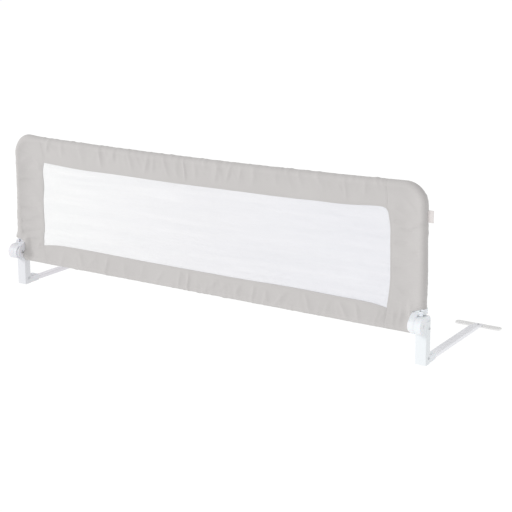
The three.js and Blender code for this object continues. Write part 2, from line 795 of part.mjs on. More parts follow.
function footBar() {
  const half = footLength / 2 - footWidth / 2;
  const outline = strapOutline(postX - half, footY, footWidth / 2, postX + half, footY, footWidth / 2);
  const bar = prism("z", outline, [0, footThickness], 4);
  const holes = [-1, 1].map((end) => rodZ(postX + end * (footLength / 2 - footHoleInset), footY,
    [-overrun, footThickness + overrun], footHoleRadius));
  const screwHole = rodZ(postX, footY, [-overrun, footThickness + overrun], screwRadius + clearance);
  return cut(bar, ...holes, screwHole);
}

// Fasteners in their places

const acrossPost = (geometry, x, z) => solidOf(geometry.rotateY(Math.PI / 2).translate(x, postY, z));

const bracketBolt = () => acrossPost(screw(postWidth + boltNutThickness + 2 * clearance),
  postOuterX + clearance, bracketBoltRaise);

const bracketNut = () => hexNut(postInnerX - clearance - boltNutThickness, boltNutThickness, boltNutRadius,
  screwRadius + clearance, postY, bracketBoltRaise);

const housingScrew = () => acrossPost(screw(housingScrewLength), postOuterX + clearance,
  postHeight - housingScrewDrop);

const legScrew = () => solidOf(screw(legScrewLength).translate(postX, legScrewY, legScrewZ));

const footScrew = () => solidOf(screw(pressedHeight + footThickness)
  .translate(postX, footY, legBottomZ + pressedHeight + clearance));

// Finishes

const finish = (color, roughness, metalness = 0) =>
  () => new THREE.MeshStandardMaterial({ color, roughness, metalness });
const whitePaint = finish(0xf0f2f4, 0.45, 0.1);
const whiteMoulding = finish(0xf2f3f4, 0.5);
const greyCloth = finish(0xc9c7c5, 0.95);
const whiteNet = finish(0xf1f3f6, 0.9);
const brightSteel = finish(0xb9bcc0, 0.35, 1);
const labelTape = finish(0xddd8d6, 0.9);

// Assembly: one end is built at +X and mirrored for the other

function piece(name, solid, material) {
  const mesh = new THREE.Mesh(geometryOf(solid), material());
  mesh.name = name;
  return mesh;
}

const endPieces = [
  ["post", post, whitePaint],
  ["leg_bracket", legBracket, whiteMoulding],
  ["bracket_bolt", bracketBolt, brightSteel],
  ["bracket_nut", bracketNut, brightSteel],
  ["leg_bar", legBar, whitePaint],
  ["leg_screw", legScrew, brightSteel],
  ["foot_bar", footBar, whitePaint],
  ["foot_screw", footScrew, brightSteel],
  ["hinge_housing", hingeHousing, whiteMoulding],
  ["housing_screw", housingScrew, brightSteel],
  ["pivot_pin", pivotPin, brightSteel],
  ["pivot_nut", pivotNut, brightSteel],
  ["corner_connector", cornerConnector, whiteMoulding],
  ["lock_slider", lockSlider, whiteMoulding],
  ["lock_spring", lockSpring, brightSteel],
  ["corner_tube", cornerTube, whitePaint],
  ["top_sleeve", topSleeve, brightSteel],
  ["bottom_tube", bottomTube, whitePaint],
  ["cover_side_strip", sideBand, greyCloth],
];

const middlePieces = [
  ["top_tube", topTube, whitePaint],
  ["bottom_sleeve", bottomSleeve, brightSteel],
  ["cover_top_band", topBand, greyCloth],
  ["cover_bottom_band", bottomBand, greyCloth],
  ["window_net", windowNet, whiteNet],
  ["label_loop", labelLoop, labelTape],
];

function railEnd(side, mirror) {
  const end = new THREE.Group();
  end.scale.x = mirror;
  endPieces.forEach(([name, make, material]) => end.add(piece(`${side}_${name}`, make(), material)));
  return end;
}

const guardRail = new THREE.Group();
guardRail.add(railEnd("left", -1), railEnd("right", 1));
middlePieces.forEach(([name, make, material]) => guardRail.add(piece(name, make(), material)));
guardRail.position.y = -(pivotY - barrelRadius + footBackY) / 2;

console.log(`least gap between the spring's coils: ${leastSpringGap().toFixed(2)} mm`);

export default guardRail;
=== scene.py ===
import json
import math

import bmesh
import bpy
import numpy as np
from mathutils import Matrix, Vector


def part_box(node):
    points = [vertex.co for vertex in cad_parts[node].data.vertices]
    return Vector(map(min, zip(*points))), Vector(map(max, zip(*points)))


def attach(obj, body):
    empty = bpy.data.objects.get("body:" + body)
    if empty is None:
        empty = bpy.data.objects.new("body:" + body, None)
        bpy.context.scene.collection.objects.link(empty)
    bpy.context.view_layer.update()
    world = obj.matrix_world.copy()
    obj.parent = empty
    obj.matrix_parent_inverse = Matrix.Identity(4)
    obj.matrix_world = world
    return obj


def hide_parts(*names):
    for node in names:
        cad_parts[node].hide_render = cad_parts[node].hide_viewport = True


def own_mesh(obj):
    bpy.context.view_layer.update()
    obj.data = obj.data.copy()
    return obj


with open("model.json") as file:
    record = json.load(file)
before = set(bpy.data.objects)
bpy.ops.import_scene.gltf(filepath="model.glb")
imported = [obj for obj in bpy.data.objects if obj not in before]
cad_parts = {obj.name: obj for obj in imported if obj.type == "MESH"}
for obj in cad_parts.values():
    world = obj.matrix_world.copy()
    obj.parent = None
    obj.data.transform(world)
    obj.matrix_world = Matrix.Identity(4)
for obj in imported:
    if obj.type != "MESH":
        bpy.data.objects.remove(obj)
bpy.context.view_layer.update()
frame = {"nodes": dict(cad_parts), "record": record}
nodes = frame["nodes"]
mm = 0.001
print("frame loaded:", len(nodes), "nodes")


# Helpers: lengths, objects, joined meshes, walls, and chains of shader nodes

def inMm(**lengths):
    return {key: value * mm for key, value in lengths.items()}


def stacked(*parts):
    return np.stack(parts, -1)


def newObject(name, data):
    made = bpy.data.objects.new(name, data)
    bpy.context.scene.collection.objects.link(made)
    return made


def meshObject(name, material, points, faces, uv=None):
    mesh = bpy.data.meshes.new(name)
    mesh.from_pydata(np.asarray(points).reshape(-1, 3).tolist(), [], np.asarray(faces).tolist())
    if uv is not None:
        corners = np.empty(len(mesh.loops), np.int32)
        mesh.loops.foreach_get("vertex_index", corners)
        layer = mesh.uv_layers.new(name="clothUv")
        layer.data.foreach_set("uv", np.asarray(uv).reshape(-1, 2)[corners].astype(np.float32).ravel())
    mesh.shade_smooth()
    mesh.update()
    mesh.materials.append(material)
    return newObject(name, mesh)


# Joins points that lie on each other, then takes the other steps given
def mended(mesh, distance, *steps):
    bm = bmesh.new()
    bm.from_mesh(mesh)
    bmesh.ops.remove_doubles(bm, verts=bm.verts, dist=distance)
    for step in steps:
        step(bm)
    bm.to_mesh(mesh)
    bm.free()


def facedOut(bm):
    bmesh.ops.recalc_face_normals(bm, faces=bm.faces)


def addWall(piece, name, thickness, offset):
    wall = piece.modifiers.new(name, "SOLIDIFY")
    wall.thickness, wall.offset = thickness, offset


class NodeMaker:
    def __init__(self, name, library="materials", shader="Principled BSDF"):
        self.owner = getattr(bpy.data, library).new(name)
        self.owner.use_nodes = True
        self.tree = self.owner.node_tree
        self.shader = self.tree.nodes[shader]

    def put(self, value, socket):
        if isinstance(value, bpy.types.NodeSocket):
            self.tree.links.new(value, socket)
        else:
            socket.default_value = value

    def node(self, kind, inputs=(), **settings):
        made = self.tree.nodes.new("ShaderNode" + kind)
        for key, value in settings.items():
            setattr(made, key, value)
        for key, value in dict(inputs).items():
            self.put(value, made.inputs[key])
        return made

    def place(self, kind="Object"):
        return self.node("TexCoord").outputs[kind]

    def stretched(self, scale, place):
        return self.node("Mapping", {"Vector": place, "Scale": scale}).outputs["Vector"]

    # Noise of so many cells to a metre, or stretched by three such numbers
    def noise(self, scale, detail=2.0, kind="Object", rough=0.5):
        place = self.place(kind)
        if isinstance(scale, tuple):
            place, scale = self.stretched(scale, place), 1.0
        inputs = {"Vector": place, "Scale": scale, "Detail": detail, "Roughness": rough}
        return self.node("TexNoise", inputs).outputs["Fac"]

    # A sine wave that repeats every 2 pi steps, as the texture makes 20 radians of one unit at Scale 1
    def wave(self, place, step, direction, distortion):
        inputs = {"Vector": place, "Scale": 1 / step / 20, "Distortion": distortion, "Detail": 1.0}
        return self.node("TexWave", inputs, bands_direction=direction).outputs["Fac"]

    def math(self, operation, a, b=0.0, c=0.0, clamp=False):
        return self.node("Math", {0: a, 1: b, 2: c}, operation=operation, use_clamp=clamp).outputs[0]

    # Sum of the fields given, each times its share, held between 0 and 1
    def weighted(self, *parts):
        total = 0.0
        for value, share in parts:
            total = self.math("MULTIPLY_ADD", value, share, total, True)
        return total

    def spread(self, value, low, high, fromLow=0.0, fromHigh=1.0, **settings):
        inputs = {"Value": value, "From Min": fromLow, "From Max": fromHigh, "To Min": low, "To Max": high}
        return self.node("MapRange", inputs, **settings).outputs[0]

    def mixed(self, factor, first, second, **settings):
        return self.node("Mix", {0: factor, 6: first, 7: second}, data_type="RGBA", **settings).outputs[2]

    # From the finish's dark to its light colour
    def shaded(self, factor, finish):
        return self.mixed(factor, (*finish["dark"], 1), (*finish["light"], 1))

    def times(self, color, tint):
        return self.mixed(1.0, color, tint, blend_type="MULTIPLY")

    # Colours at places along one Object coordinate, blended between
    def along(self, way, stops):
        low, high = stops[0][0], stops[-1][0]
        place = self.node("SeparateXYZ", {0: self.place()}).outputs[way]
        ramp = self.node("ValToRGB", {0: self.spread(place, 0.0, 1.0, low, high)})
        marks = ramp.color_ramp.elements
        for at, _ in stops[1:-1]:
            marks.new((at - low) / (high - low))
        for mark, (_, color) in zip(marks, stops):
            mark.color = (*color, 1)
        return ramp.outputs[0]

    def bump(self, height, strength, distance, **under):
        inputs = {"Height": height, "Strength": strength, "Distance": distance, **under}
        return self.node("Bump", inputs).outputs[0]

    def finish(self, **sockets):
        for key, value in sockets.items():
            self.put(value, self.shader.inputs[key.replace("_", " ")])
        return self.owner


# Camera and stage

cameraSetup = {
    "place": (2.175423, -3.215776, 1.223728),
    "turn": 33.038,      # degrees round the upright axis, 0 looks along +Y
    "dip": 11.267,       # degrees below the horizon
    "tilt": -0.313,      # degrees about the line of sight
    "lens": 89.277, "film": 36.0, "clipEnd": 200.0,
    "rise": -0.1758,     # the photograph keeps its uprights nearly parallel
}
stageSetup = {
    "floorZ": -0.30,     # the feet lie on a bed's base, and the rail folds down beside it
    "floorSize": 60.0, "floorPaint": 0.12, "floorGlow": 0.93,      # a white floor that is lit through
    "horizon": 1.04, "zenith": 0.74, "fadeFrom": 0.30, "fadeTo": 0.60,    # sky brightness and the heights between
    "rightDim": 0.83, "dimFrom": 0.10, "dimTo": 0.75,             # a grey curtain stands off the +X end
}
lightSetup = {"place": (-9.6, -10.4, 7.0), "aim": (0.0, 0.0, 0.2), "size": 5.0, "power": 780.0}


def makeCamera(setup):
    turn, dip, tilt = (math.radians(setup[key]) for key in ("turn", "dip", "tilt"))
    look = Vector((-math.sin(turn) * math.cos(dip), math.cos(turn) * math.cos(dip), -math.sin(dip)))
    right = Vector((math.cos(turn), math.sin(turn), 0))
    up = right.cross(look)
    right, up = right * math.cos(tilt) + up * math.sin(tilt), up * math.cos(tilt) - right * math.sin(tilt)
    data = bpy.data.cameras.new("camera")
    data.lens, data.sensor_width, data.shift_y = setup["lens"], setup["film"], setup["rise"]
    data.clip_end = setup["clipEnd"]
    camera = newObject("camera", data)
    camera.matrix_world = Matrix.Translation(setup["place"]) @ Matrix((right, up, -look)).transposed().to_4x4()
    bpy.context.scene.camera = camera


def makeLight(name, setup):
    data = bpy.data.lights.new(name, "AREA")
    data.shape, data.size, data.energy = "DISK", setup["size"], setup["power"]
    light = newObject(name, data)
    light.location = setup["place"]
    light.rotation_euler = (Vector(setup["place"]) - Vector(setup["aim"])).to_track_quat("Z", "Y").to_euler()


def makeFloor(setup):
    half, z = setup["floorSize"] / 2, setup["floorZ"]
    paint = (*(setup["floorPaint"],) * 3, 1)
    material = NodeMaker("paleFloor").finish(Base_Color=paint, Roughness=0.9, Specular_IOR_Level=0.0,
                                             Emission_Color=(1, 1, 1, 1), Emission_Strength=setup["floorGlow"])
    material.cycles.emission_sampling = "NONE"    # it is as wide as the sky, so it needs no aimed rays
    corners = [(-half, -half, z), (half, -half, z), (half, half, z), (-half, half, z)]
    floor = meshObject("floor", material, corners, [(0, 1, 2, 3)])


# Sky: white to well above the horizon, then a softer grey overhead and towards the +X end
def makeSky(setup):
    m = NodeMaker("paleSky", "worlds", "Background")
    way = m.node("SeparateXYZ", {0: m.place("Generated")}).outputs
    fades = (("Z", setup["horizon"], setup["zenith"], "fade"), ("X", 1.0, setup["rightDim"], "dim"))
    overhead, aside = (m.spread(way[axis], first, last, setup[name + "From"], setup[name + "To"],
                                interpolation_type="SMOOTHSTEP") for axis, first, last, name in fades)
    bpy.context.scene.world = m.finish(Color=(1, 1, 1, 1), Strength=m.math("MULTIPLY", overhead, aside))
    bpy.context.scene.view_settings.view_transform = "Standard"


makeCamera(cameraSetup)
makeFloor(stageSetup)
makeSky(stageSetup)
makeLight("frontLight", lightSetup)
print("camera, stage and light made")


# Materials: each is a chain of procedural nodes read from Object coordinates or the cloth's own UV, in metres

clothFinish = {
    "light": (0.539, 0.523, 0.515), "dark": (0.500, 0.484, 0.477), "rough": (0.86, 0.96), "sheen": 0.18,
    **inMm(weaveStep=0.55, weaveDepth=0.12, rubDepth=0.6), "slubScale": (60.0, 900.0, 1.0), "heatherScale": 900.0,
    "cloudScale": 9.0, "rubScale": 160.0,
}


# Plain weave: two crossed sine waves, with slubs, a soft heather of the yarn, faint clouds and rubbed places
def makeClothMaterial(name, finish):
    m = NodeMaker(name)
    weave = m.math("MAXIMUM", *(m.wave(m.place("UV"), finish["weaveStep"], way, 0.6) for way in "XY"))
    slub = m.noise(finish["slubScale"], 3.0, "UV")
    heather = m.noise(finish["heatherScale"], 2.0, "UV")
    cloud = m.noise(finish["cloudScale"], 3.0)
    shade = m.weighted((slub, 0.35), (heather, 0.25), (cloud, 0.45))
    color = m.shaded(m.spread(shade, 0.0, 1.0, 0.3, 0.75), finish)
    fine = m.bump(weave, 0.5, finish["weaveDepth"])
    rub = m.bump(m.noise(finish["rubScale"], 3.0), 0.12, finish["rubDepth"], Normal=fine)
    return m.finish(Base_Color=color, Roughness=m.spread(heather, *finish["rough"]), Normal=rub,
                    Sheen_Weight=finish["sheen"], Sheen_Roughness=0.5, Specular_IOR_Level=0.18)


netFinish = {
    "light": (0.918, 0.923, 0.936), "dark": (0.847, 0.857, 0.875), "holePitch": 1.9 * mm, "openShare": 0.42,
    "clear": 0.75, "streakScale": (3.0, 1.0, 60.0), "knitScale": (500.0, 1400.0, 1.0), "knitDepth": 0.15 * mm,
    # painted shade: the net's colour is multiplied darker and bluer towards +X, standing in for light falling off
    "paintedShadeAlongX": [(-0.60, (1.0, 0.995, 0.98)), (0.0, (0.934, 0.924, 0.93)), (0.58, (0.898, 0.893, 0.914))],
}


# Knitted net: rows of small rounded holes, every second row set over by half a pitch, with painted shade that greys
# and blues it towards the +X end
def makeNetMaterial(name, finish):
    m = NodeMaker(name)
    ways, turns = m.node("SeparateXYZ", {0: m.place("UV")}).outputs, 2 * math.pi / finish["holePitch"]
    cell = m.math("MULTIPLY", *(m.math("COSINE", m.math("MULTIPLY", ways[way], turns)) for way in "XY"))
    hole = m.math("GREATER_THAN", m.math("ABSOLUTE", cell), 1 - finish["openShare"])
    streak, knit = m.noise(finish["streakScale"], 3.0), m.noise(finish["knitScale"], 2.0, "UV")
    shade = m.spread(m.weighted((streak, 0.6), (knit, 0.4)), 0.0, 1.0, 0.3, 0.7)
    color = m.times(m.shaded(shade, finish), m.along("X", finish["paintedShadeAlongX"]))
    return m.finish(Base_Color=color, Roughness=0.85, Alpha=m.math("MULTIPLY_ADD", hole, -finish["clear"], 1.0),
                    Normal=m.bump(cell, 0.35, finish["knitDepth"]), Specular_IOR_Level=0.2)


# Painted shade: white paint and mouldings are greyed towards the -X end, standing in for less light falling there
paintedShadeLeftEnd = [(-0.76, (0.885, 0.862, 0.873)), (-0.70, (0.885, 0.862, 0.873)), (0.70, (1, 1, 1))]
paintFinish = {"light": (0.80, 0.83, 0.85), "dark": (0.775, 0.805, 0.825), "peelDepth": 0.02 * mm,
               "peelScale": 520.0, "cloudScale": 14.0, "bloomScale": 60.0, "rough": (0.36, 0.5)}
legFinish = {**paintFinish, "light": (0.89, 0.895, 0.93), "dark": (0.865, 0.87, 0.905), "peelDepth": 0.012 * mm}
footFinish = {**legFinish, "light": (0.89, 0.885, 0.88), "dark": (0.865, 0.86, 0.855)}


# Satin powder coat: orange peel, faint clouds, a slightly rougher bloom here and there, and painted shade that greys
# it towards the -X end
def makePaintMaterial(name, finish):
    m = NodeMaker(name)
    color = m.times(m.shaded(m.noise(finish["cloudScale"], 4.0), finish), m.along("X", paintedShadeLeftEnd))
    rough = m.spread(m.noise(finish["bloomScale"], 3.0), *finish["rough"])
    peel = m.bump(m.noise(finish["peelScale"]), 0.35, finish["peelDepth"])
    return m.finish(Base_Color=color, Roughness=rough, Normal=peel, Specular_IOR_Level=0.5)


mouldingFinish = {"light": (0.825, 0.845, 0.87), "dark": (0.795, 0.815, 0.84), "grainDepth": 0.02 * mm,
                  "grainScale": 1500.0, "cloudScale": 22.0, "rough": (0.42, 0.58)}


# Moulded plastic: spark-eroded grain, faint flow clouds, and painted shade that greys it towards the -X end
def makeMouldingMaterial(name, finish):
    m = NodeMaker(name)
    grain = m.noise(finish["grainScale"], 3.0, rough=0.6)
    shade = m.weighted((m.noise(finish["cloudScale"]), 0.7), (grain, 0.3))
    color = m.times(m.shaded(shade, finish), m.along("X", paintedShadeLeftEnd))
    return m.finish(Base_Color=color, Roughness=m.spread(grain, *finish["rough"]), Specular_IOR_Level=0.45,
                    Normal=m.bump(grain, 0.4, finish["grainDepth"]), Subsurface_Weight=0.03)


zincFinish = {"light": (0.76, 0.77, 0.78), "dark": (0.64, 0.65, 0.67), "metal": 0.8, "rough": (0.34, 0.50),
              "blotchScale": 300.0, "brushScale": (2400.0, 240.0, 240.0), "brushDepth": 0.02 * mm}


# Zinc plate: fine turning marks and blotchy lustre
def makeZincMaterial(name, finish):
    m = NodeMaker(name)
    blotch, brush = m.noise(finish["blotchScale"], 4.0), m.noise(finish["brushScale"])
    return m.finish(Base_Color=m.shaded(blotch, finish), Metallic=finish["metal"],
                    Roughness=m.spread(blotch, *finish["rough"]), Normal=m.bump(brush, 0.25, finish["brushDepth"]))


tapeFinish = {"light": (0.74, 0.70, 0.69), "dark": (0.68, 0.64, 0.63), "ribStep": 0.7 * mm, "ribDepth": 0.08 * mm,
              "yarnScale": (300.0, 2600.0, 1.0), "sheen": 0.3}


# Woven tape: close ribs across its length with a selvedge's sheen
def makeTapeMaterial(name, finish):
    m = NodeMaker(name)
    ribs = m.wave(m.place("UV"), finish["ribStep"], "X", 0.4)
    yarn = m.noise(finish["yarnScale"], 2.0, "UV")
    relief = m.bump(m.math("MULTIPLY_ADD", yarn, 0.4, ribs), 0.5, finish["ribDepth"])
    return m.finish(Base_Color=m.shaded(yarn, finish), Roughness=0.72, Normal=relief,
                    Sheen_Weight=finish["sheen"], Sheen_Roughness=0.4)


threadFinish = {"light": (0.56, 0.55, 0.54), "dark": (0.47, 0.457, 0.445), "twistStep": 0.3125 * mm,
                "twistDepth": 0.05 * mm, "sheen": 0.2}


# Sewing thread: two twisted strands seen as a slanting wave
def makeThreadMaterial(name, finish):
    m = NodeMaker(name)
    twist = m.wave(m.stretched((1.0, 0.2, 1.0), m.place()), finish["twistStep"], "DIAGONAL", 0.5)
    return m.finish(Base_Color=m.shaded(twist, finish), Roughness=0.7,
                    Normal=m.bump(twist, 0.4, finish["twistDepth"]), Sheen_Weight=finish["sheen"])


clothMaterial = makeClothMaterial("wovenPolyester", clothFinish)
netMaterial = makeNetMaterial("knittedNet", netFinish)
paintMaterial = makePaintMaterial("satinPowderCoat", paintFinish)
legMaterial = makePaintMaterial("coolPowderCoat", legFinish)
footMaterial = makePaintMaterial("whiterPowderCoat", footFinish)
mouldingMaterial = makeMouldingMaterial("grainedMoulding", mouldingFinish)
zincMaterial = makeZincMaterial("zincPlate", zincFinish)
tapeMaterial = makeTapeMaterial("wovenTape", tapeFinish)
threadMaterial = makeThreadMaterial("sewingThread", threadFinish)
print("materials made")


# The cover's lie: the tubes' centre lines and the window's edge, in the cover's upright plane

coverShape = inMm(
    planeY=-175.25, sideX=736, topZ=498, bottomZ=98, bendRadius=51, topSag=8, seamX=630, cutoutZ=161, endX=715.9,
    windowTopZ=427, windowBottomZ=151, windowSag=10, windowBow=9, windowDroop=8, droopReach=80)
clothShape = {
    **inMm(tubeRadius=14.0,    # outside of the cloth over a tube
           edgeHalf=1.35,      # half of the two layers where they are sewn together
           thickness=1.1, step=3.0, give=0.3, seamGap=0.03, merge=0.02,
           waveFade=25, waveFrom=30, waveTop=60, waveLow=20, waveHigh=15, creaseFade=22, creaseHemFade=20,
           stitchInset=5.0, grooveDepth=0.4, grooveHalf=1.3, seamDip=0.55, seamHalf=2.2, seamFade=10,
           pucker=0.25, puckerPitch=4.5, puckerFrom=5, puckerHalf=4, hemWidth=8.0, hemRise=0.5, hemEnd=1.5),
    "leaveAngle": 68.0,        # degrees from the web at which the cloth leaves the tube
    "edgeSlope": 0.04,         # how steeply the layers still close at the sewn edge
    "arcSteps": 18, "lowSteps": 20, "creaseAtHem": 0.3,
}
c, k = coverShape, clothShape
bendX, bendZ = c["sideX"] - c["bendRadius"], c["topZ"] - c["bendRadius"]
cornerZ = c["windowBottomZ"] - c["windowDroop"]    # the window's lowest corners
leave = math.radians(k["leaveAngle"])
webStart, webRise = k["tubeRadius"] * math.cos(leave), k["tubeRadius"] * math.sin(leave)


def arch(t):
    return np.maximum(0, 1 - t ** 2)


def topLineZ(x):
    return c["topZ"] - c["topSag"] * arch(x / bendX)


def windowTopLine(x):
    return c["windowTopZ"] - c["windowSag"] * arch(x / c["seamX"])


def windowBottomLine(x):
    share = np.clip(1 - (c["seamX"] - np.abs(x)) / c["droopReach"], 0, 1)
    return c["windowBottomZ"] - c["windowDroop"] * share ** 2


def windowSideLine(z):
    half = (c["windowTopZ"] - cornerZ) / 2
    return c["seamX"] + c["windowBow"] * arch((z - cornerZ - half) / half)


# Distance s from the cut-out up the side tube, a quarter round and on along the sagging top: place and direction
def sideLine(s):
    up, turn = bendZ - c["cutoutZ"], c["bendRadius"] * math.pi / 2
    angle = np.clip((s - up) / c["bendRadius"], 0, math.pi / 2)
    run = np.maximum(0, s - up - turn)
    x = np.where(s < up, c["sideX"], bendX + c["bendRadius"] * np.cos(angle)) - run
    z = np.where(s < up, c["cutoutZ"] + s, bendZ + c["bendRadius"] * np.sin(angle))
    z = np.where(run > 0, topLineZ(x), z)
    return stacked(x, z), stacked(-np.sin(angle), np.cos(angle))


sideLineLength = bendZ - c["cutoutZ"] + c["bendRadius"] * math.pi / 2 + bendX - c["seamX"]


def ease(t):
    t = np.clip(t, 0, 1)
    return t * t * (3 - 2 * t)


# Half the distance between the two layers at a distance h from the tube's centre: a cubic from the tube's
# tangent down to the sewn edge at h = reach
def halfGap(h, reach):
    span = reach - webStart
    t = np.clip((h - webStart) / span, 0, 1)
    slopeIn, slopeOut = -span / math.tan(leave), -k["edgeSlope"] * span
    return ((2 * t**3 - 3 * t**2 + 1) * webRise + (t**3 - 2 * t**2 + t) * slopeIn
            + (3 * t**2 - 2 * t**3) * k["edgeHalf"] + (t**3 - t**2) * slopeOut)


# Creases of the real cover as seen, then small ones scattered over the cloth:
# x, z, degrees from upright, half length, half width, height
topCreases = [
    (-388, 474, 3, 34, 9, 1.9), (-268, 470, -4, 32, 10, 1.4), (-205, 464, 26, 30, 10, 1.6),
    (-176, 470, 18, 28, 7, 1.2), (-130, 468, -6, 32, 10, 1.5), (-57, 462, 2, 40, 5, 1.9), (-20, 474, 8, 26, 9, 1.0),
    (61, 470, 22, 32, 10, 1.8), (104, 472, 26, 30, 8, 1.5), (146, 474, 20, 26, 7, 1.3), (190, 472, 14, 30, 10, 1.3),
    (268, 480, 10, 22, 13, 0.9), (350, 480, -8, 22, 11, 0.9), (496, 470, 0, 34, 8, 1.2), (560, 482, 10, 22, 9, 1.0),
    (-470, 474, -5, 30, 12, 1.0), (-547, 482, 10, 24, 9, 1.0), (-606, 486, 28, 20, 8, 1.8),
    (-330, 484, 12, 20, 8, 1.1), (424, 476, 6, 26, 12, 0.8),
]
bottomCreases = [
    (-373, 118, 3, 30, 9, 1.7), (-480, 116, -34, 28, 12, 1.4), (-436, 120, 38, 26, 10, 1.1),
    (-230, 118, 12, 22, 11, 0.9), (-84, 118, 0, 28, 8, 1.4), (-50, 116, -3, 32, 6, 1.9), (32, 117, 52, 32, 11, 1.7),
    (80, 122, 56, 22, 9, 1.1), (187, 116, 2, 30, 9, 1.6), (282, 117, 42, 32, 10, 1.7), (374, 116, -26, 28, 9, 1.3),
    (492, 116, -38, 30, 10, 1.5), (538, 117, -20, 28, 8, 1.3), (440, 116, 15, 20, 10, 0.9),
    (130, 116, 10, 20, 9, 0.8), (-300, 112, -20, 22, 10, 0.9), (-160, 114, 30, 22, 9, 0.9),
    (-560, 112, 14, 22, 10, 1.0), (235, 112, -30, 20, 9, 0.8), (600, 120, 8, 26, 9, 1.0),
]
sideCreases = [
    (672, 397, 88, 24, 7, -1.7), (688, 376, 92, 22, 6, -1.5), (716, 392, 62, 24, 5, 1.5),
    (676, 337, 86, 22, 8, -1.8), (722, 318, 78, 14, 6, -1.2), (690, 300, 95, 30, 14, 1.0),
    (672, 262, 92, 30, 10, -0.9), (705, 236, 84, 26, 12, 1.0), (690, 203, 96, 28, 9, -0.9),
    (668, 424, 112, 26, 9, 1.1), (700, 450, 130, 24, 10, 1.0), (690, 165, 100, 24, 9, 1.2),
    (672, 130, 4, 26, 7, 1.0), (652, 118, -4, 24, 6, 0.9), (700, 120, 20, 18, 7, 1.0), (-694, 364, 92, 34, 8, -1.8),
    (-688, 320, 88, 32, 12, 1.3), (-690, 268, 94, 34, 8, -1.9), (-684, 245, 87, 26, 8, 1.3),
    (-696, 223, 90, 34, 7, -1.7), (-680, 205, 95, 26, 7, 1.3), (-692, 190, 88, 34, 6, -1.7),
    (-690, 172, 92, 30, 6, 1.2), (-664, 300, 92, 18, 7, 1.2), (-668, 404, 84, 26, 9, 1.0),
    (-700, 440, 60, 26, 11, 1.0), (-672, 134, 82, 26, 8, 1.4), (-684, 112, 96, 24, 6, -1.0),
    (-650, 150, 60, 16, 6, 1.1),
]
scatter = {
    "seed": 41, "seenGain": 1.55, "gain": 0.9, "backGain": 1.7, "skew": 0.6, "skewRate": 2.5, "waveSize": 2.2,
    "leanSpread": 20, "sizes": (0.35, 1.0), "narrowest": 0.5, "odds": (0.35, 0.65),    # of a dent and of a fold
    "front": {"top": 74, "bottom": 66, "sides": 70, "topEdge": 62, "bottomEdge": 48, "sideEdges": 52},
    "back": {"top": 88, "bottom": 80, "sides": 84, "topEdge": 62, "bottomEdge": 48, "sideEdges": 52},
    "waves": {"top": 26, "bottom": 22, "sides": 24},
}
# For each region its range of x and of z and its turn; then for each kind the share of the lean, half length and
# half width with what size adds to them, dent for a fold of 1, and height. Gathers show in the outline
scatterRegions = {
    "top": (-640, 640, 455, 506, 0, "fold"), "bottom": (-640, 640, 90, 136, 0, "fold"),
    "sides": (645, 742, 104, 470, 90, "fold"), "sideEdges": (738, 748, 170, 480, 90, "sideGather"),
    "topEdge": (-640, 640, 506, 506, 0, "gather"), "bottomEdge": (-640, 640, 88, 88, 0, "gather"),
}
scatterKinds = {"fold": (1, 12, 20, 3.5, 8, 0.45, 1.05), "gather": (1, 12, 14, 2.5, 4, 0.4, 0.9),
                "sideGather": (0.5, 14, 12, 2.5, 3.5, 0.5, 0.8)}


# Seeded creases for one region: upright on the long bands, level on the side strips
def scatteredCreases(rng, region, count):
    left, right, low, high, turn, kind = scatterRegions[region]
    share, long, longer, wide, wider, dent, height = scatterKinds[kind]
    lean = turn + share * rng.normal(0, scatter["leanSpread"], count)
    size = rng.uniform(*scatter["sizes"], count)
    x = rng.uniform(left, right, count) * (rng.choice([-1, 1], count) if left > 0 else 1)
    z = rng.uniform(low, high, count) if high > low else np.full(count, float(low))
    narrow = rng.uniform(scatter["narrowest"], 1, count) if kind == "fold" else 1
    fold = rng.choice([-dent, 1], count, p=scatter["odds"] if kind == "fold" else None)
    return stacked(x, z, lean, long + longer * size, wide + wider * size * narrow, fold * size * height)


def creaseTable(seed, regions, seen=()):
    rng = np.random.default_rng(seed)
    parts = [scatteredCreases(rng, region, count) for region, count in regions.items()]
    table = np.concatenate([np.array(seen, float).reshape(-1, 6), *parts])
    table[:, 5] *= np.where(np.arange(len(table)) < len(seen), scatter["seenGain"], scatter["gain"])
    return table * np.array([mm, mm, math.pi / 180, mm, mm, mm])


frontTable = creaseTable(scatter["seed"], scatter["front"], topCreases + bottomCreases + sideCreases)
backTable = creaseTable(scatter["seed"] + 1, scatter["back"])
backTable[:, 5] *= scatter["backGain"]
waveTable = creaseTable(scatter["seed"] + 2, scatter["waves"])
waveTable[:, 3:5] *= scatter["waveSize"]


# Sum over the creases of height times a bell across the crease, stronger on one side, times a flatter bell along it
def creaseField(x, z, table):
    total = np.zeros(np.broadcast(x, z).shape)
    for cx, cz, lean, half, width, height in table:
        along = (x - cx) * math.sin(lean) + (z - cz) * math.cos(lean)
        across = ((x - cx) * math.cos(lean) - (z - cz) * math.sin(lean)) / width
        side = 1 + scatter["skew"] * np.tanh(scatter["skewRate"] * across)
        total += height * np.exp(-across ** 2 - np.abs(along / half) ** 3) * side
    return total


# Distance from a place of the cloth to the window's edge, and to the edge of the cut-out for the fitting
def fromWindow(x, z):
    beside = np.abs(x) - windowSideLine(z)
    above = np.maximum(z - windowTopLine(x), windowBottomLine(x) - z)
    return np.hypot(np.maximum(beside, 0), np.maximum(above, 0))


def fromCutout(x, z):
    beside, above = c["endX"] - np.abs(x), z - c["cutoutZ"]
    return np.where(beside > 0, np.where(above > 0, np.hypot(beside, above), beside), above)


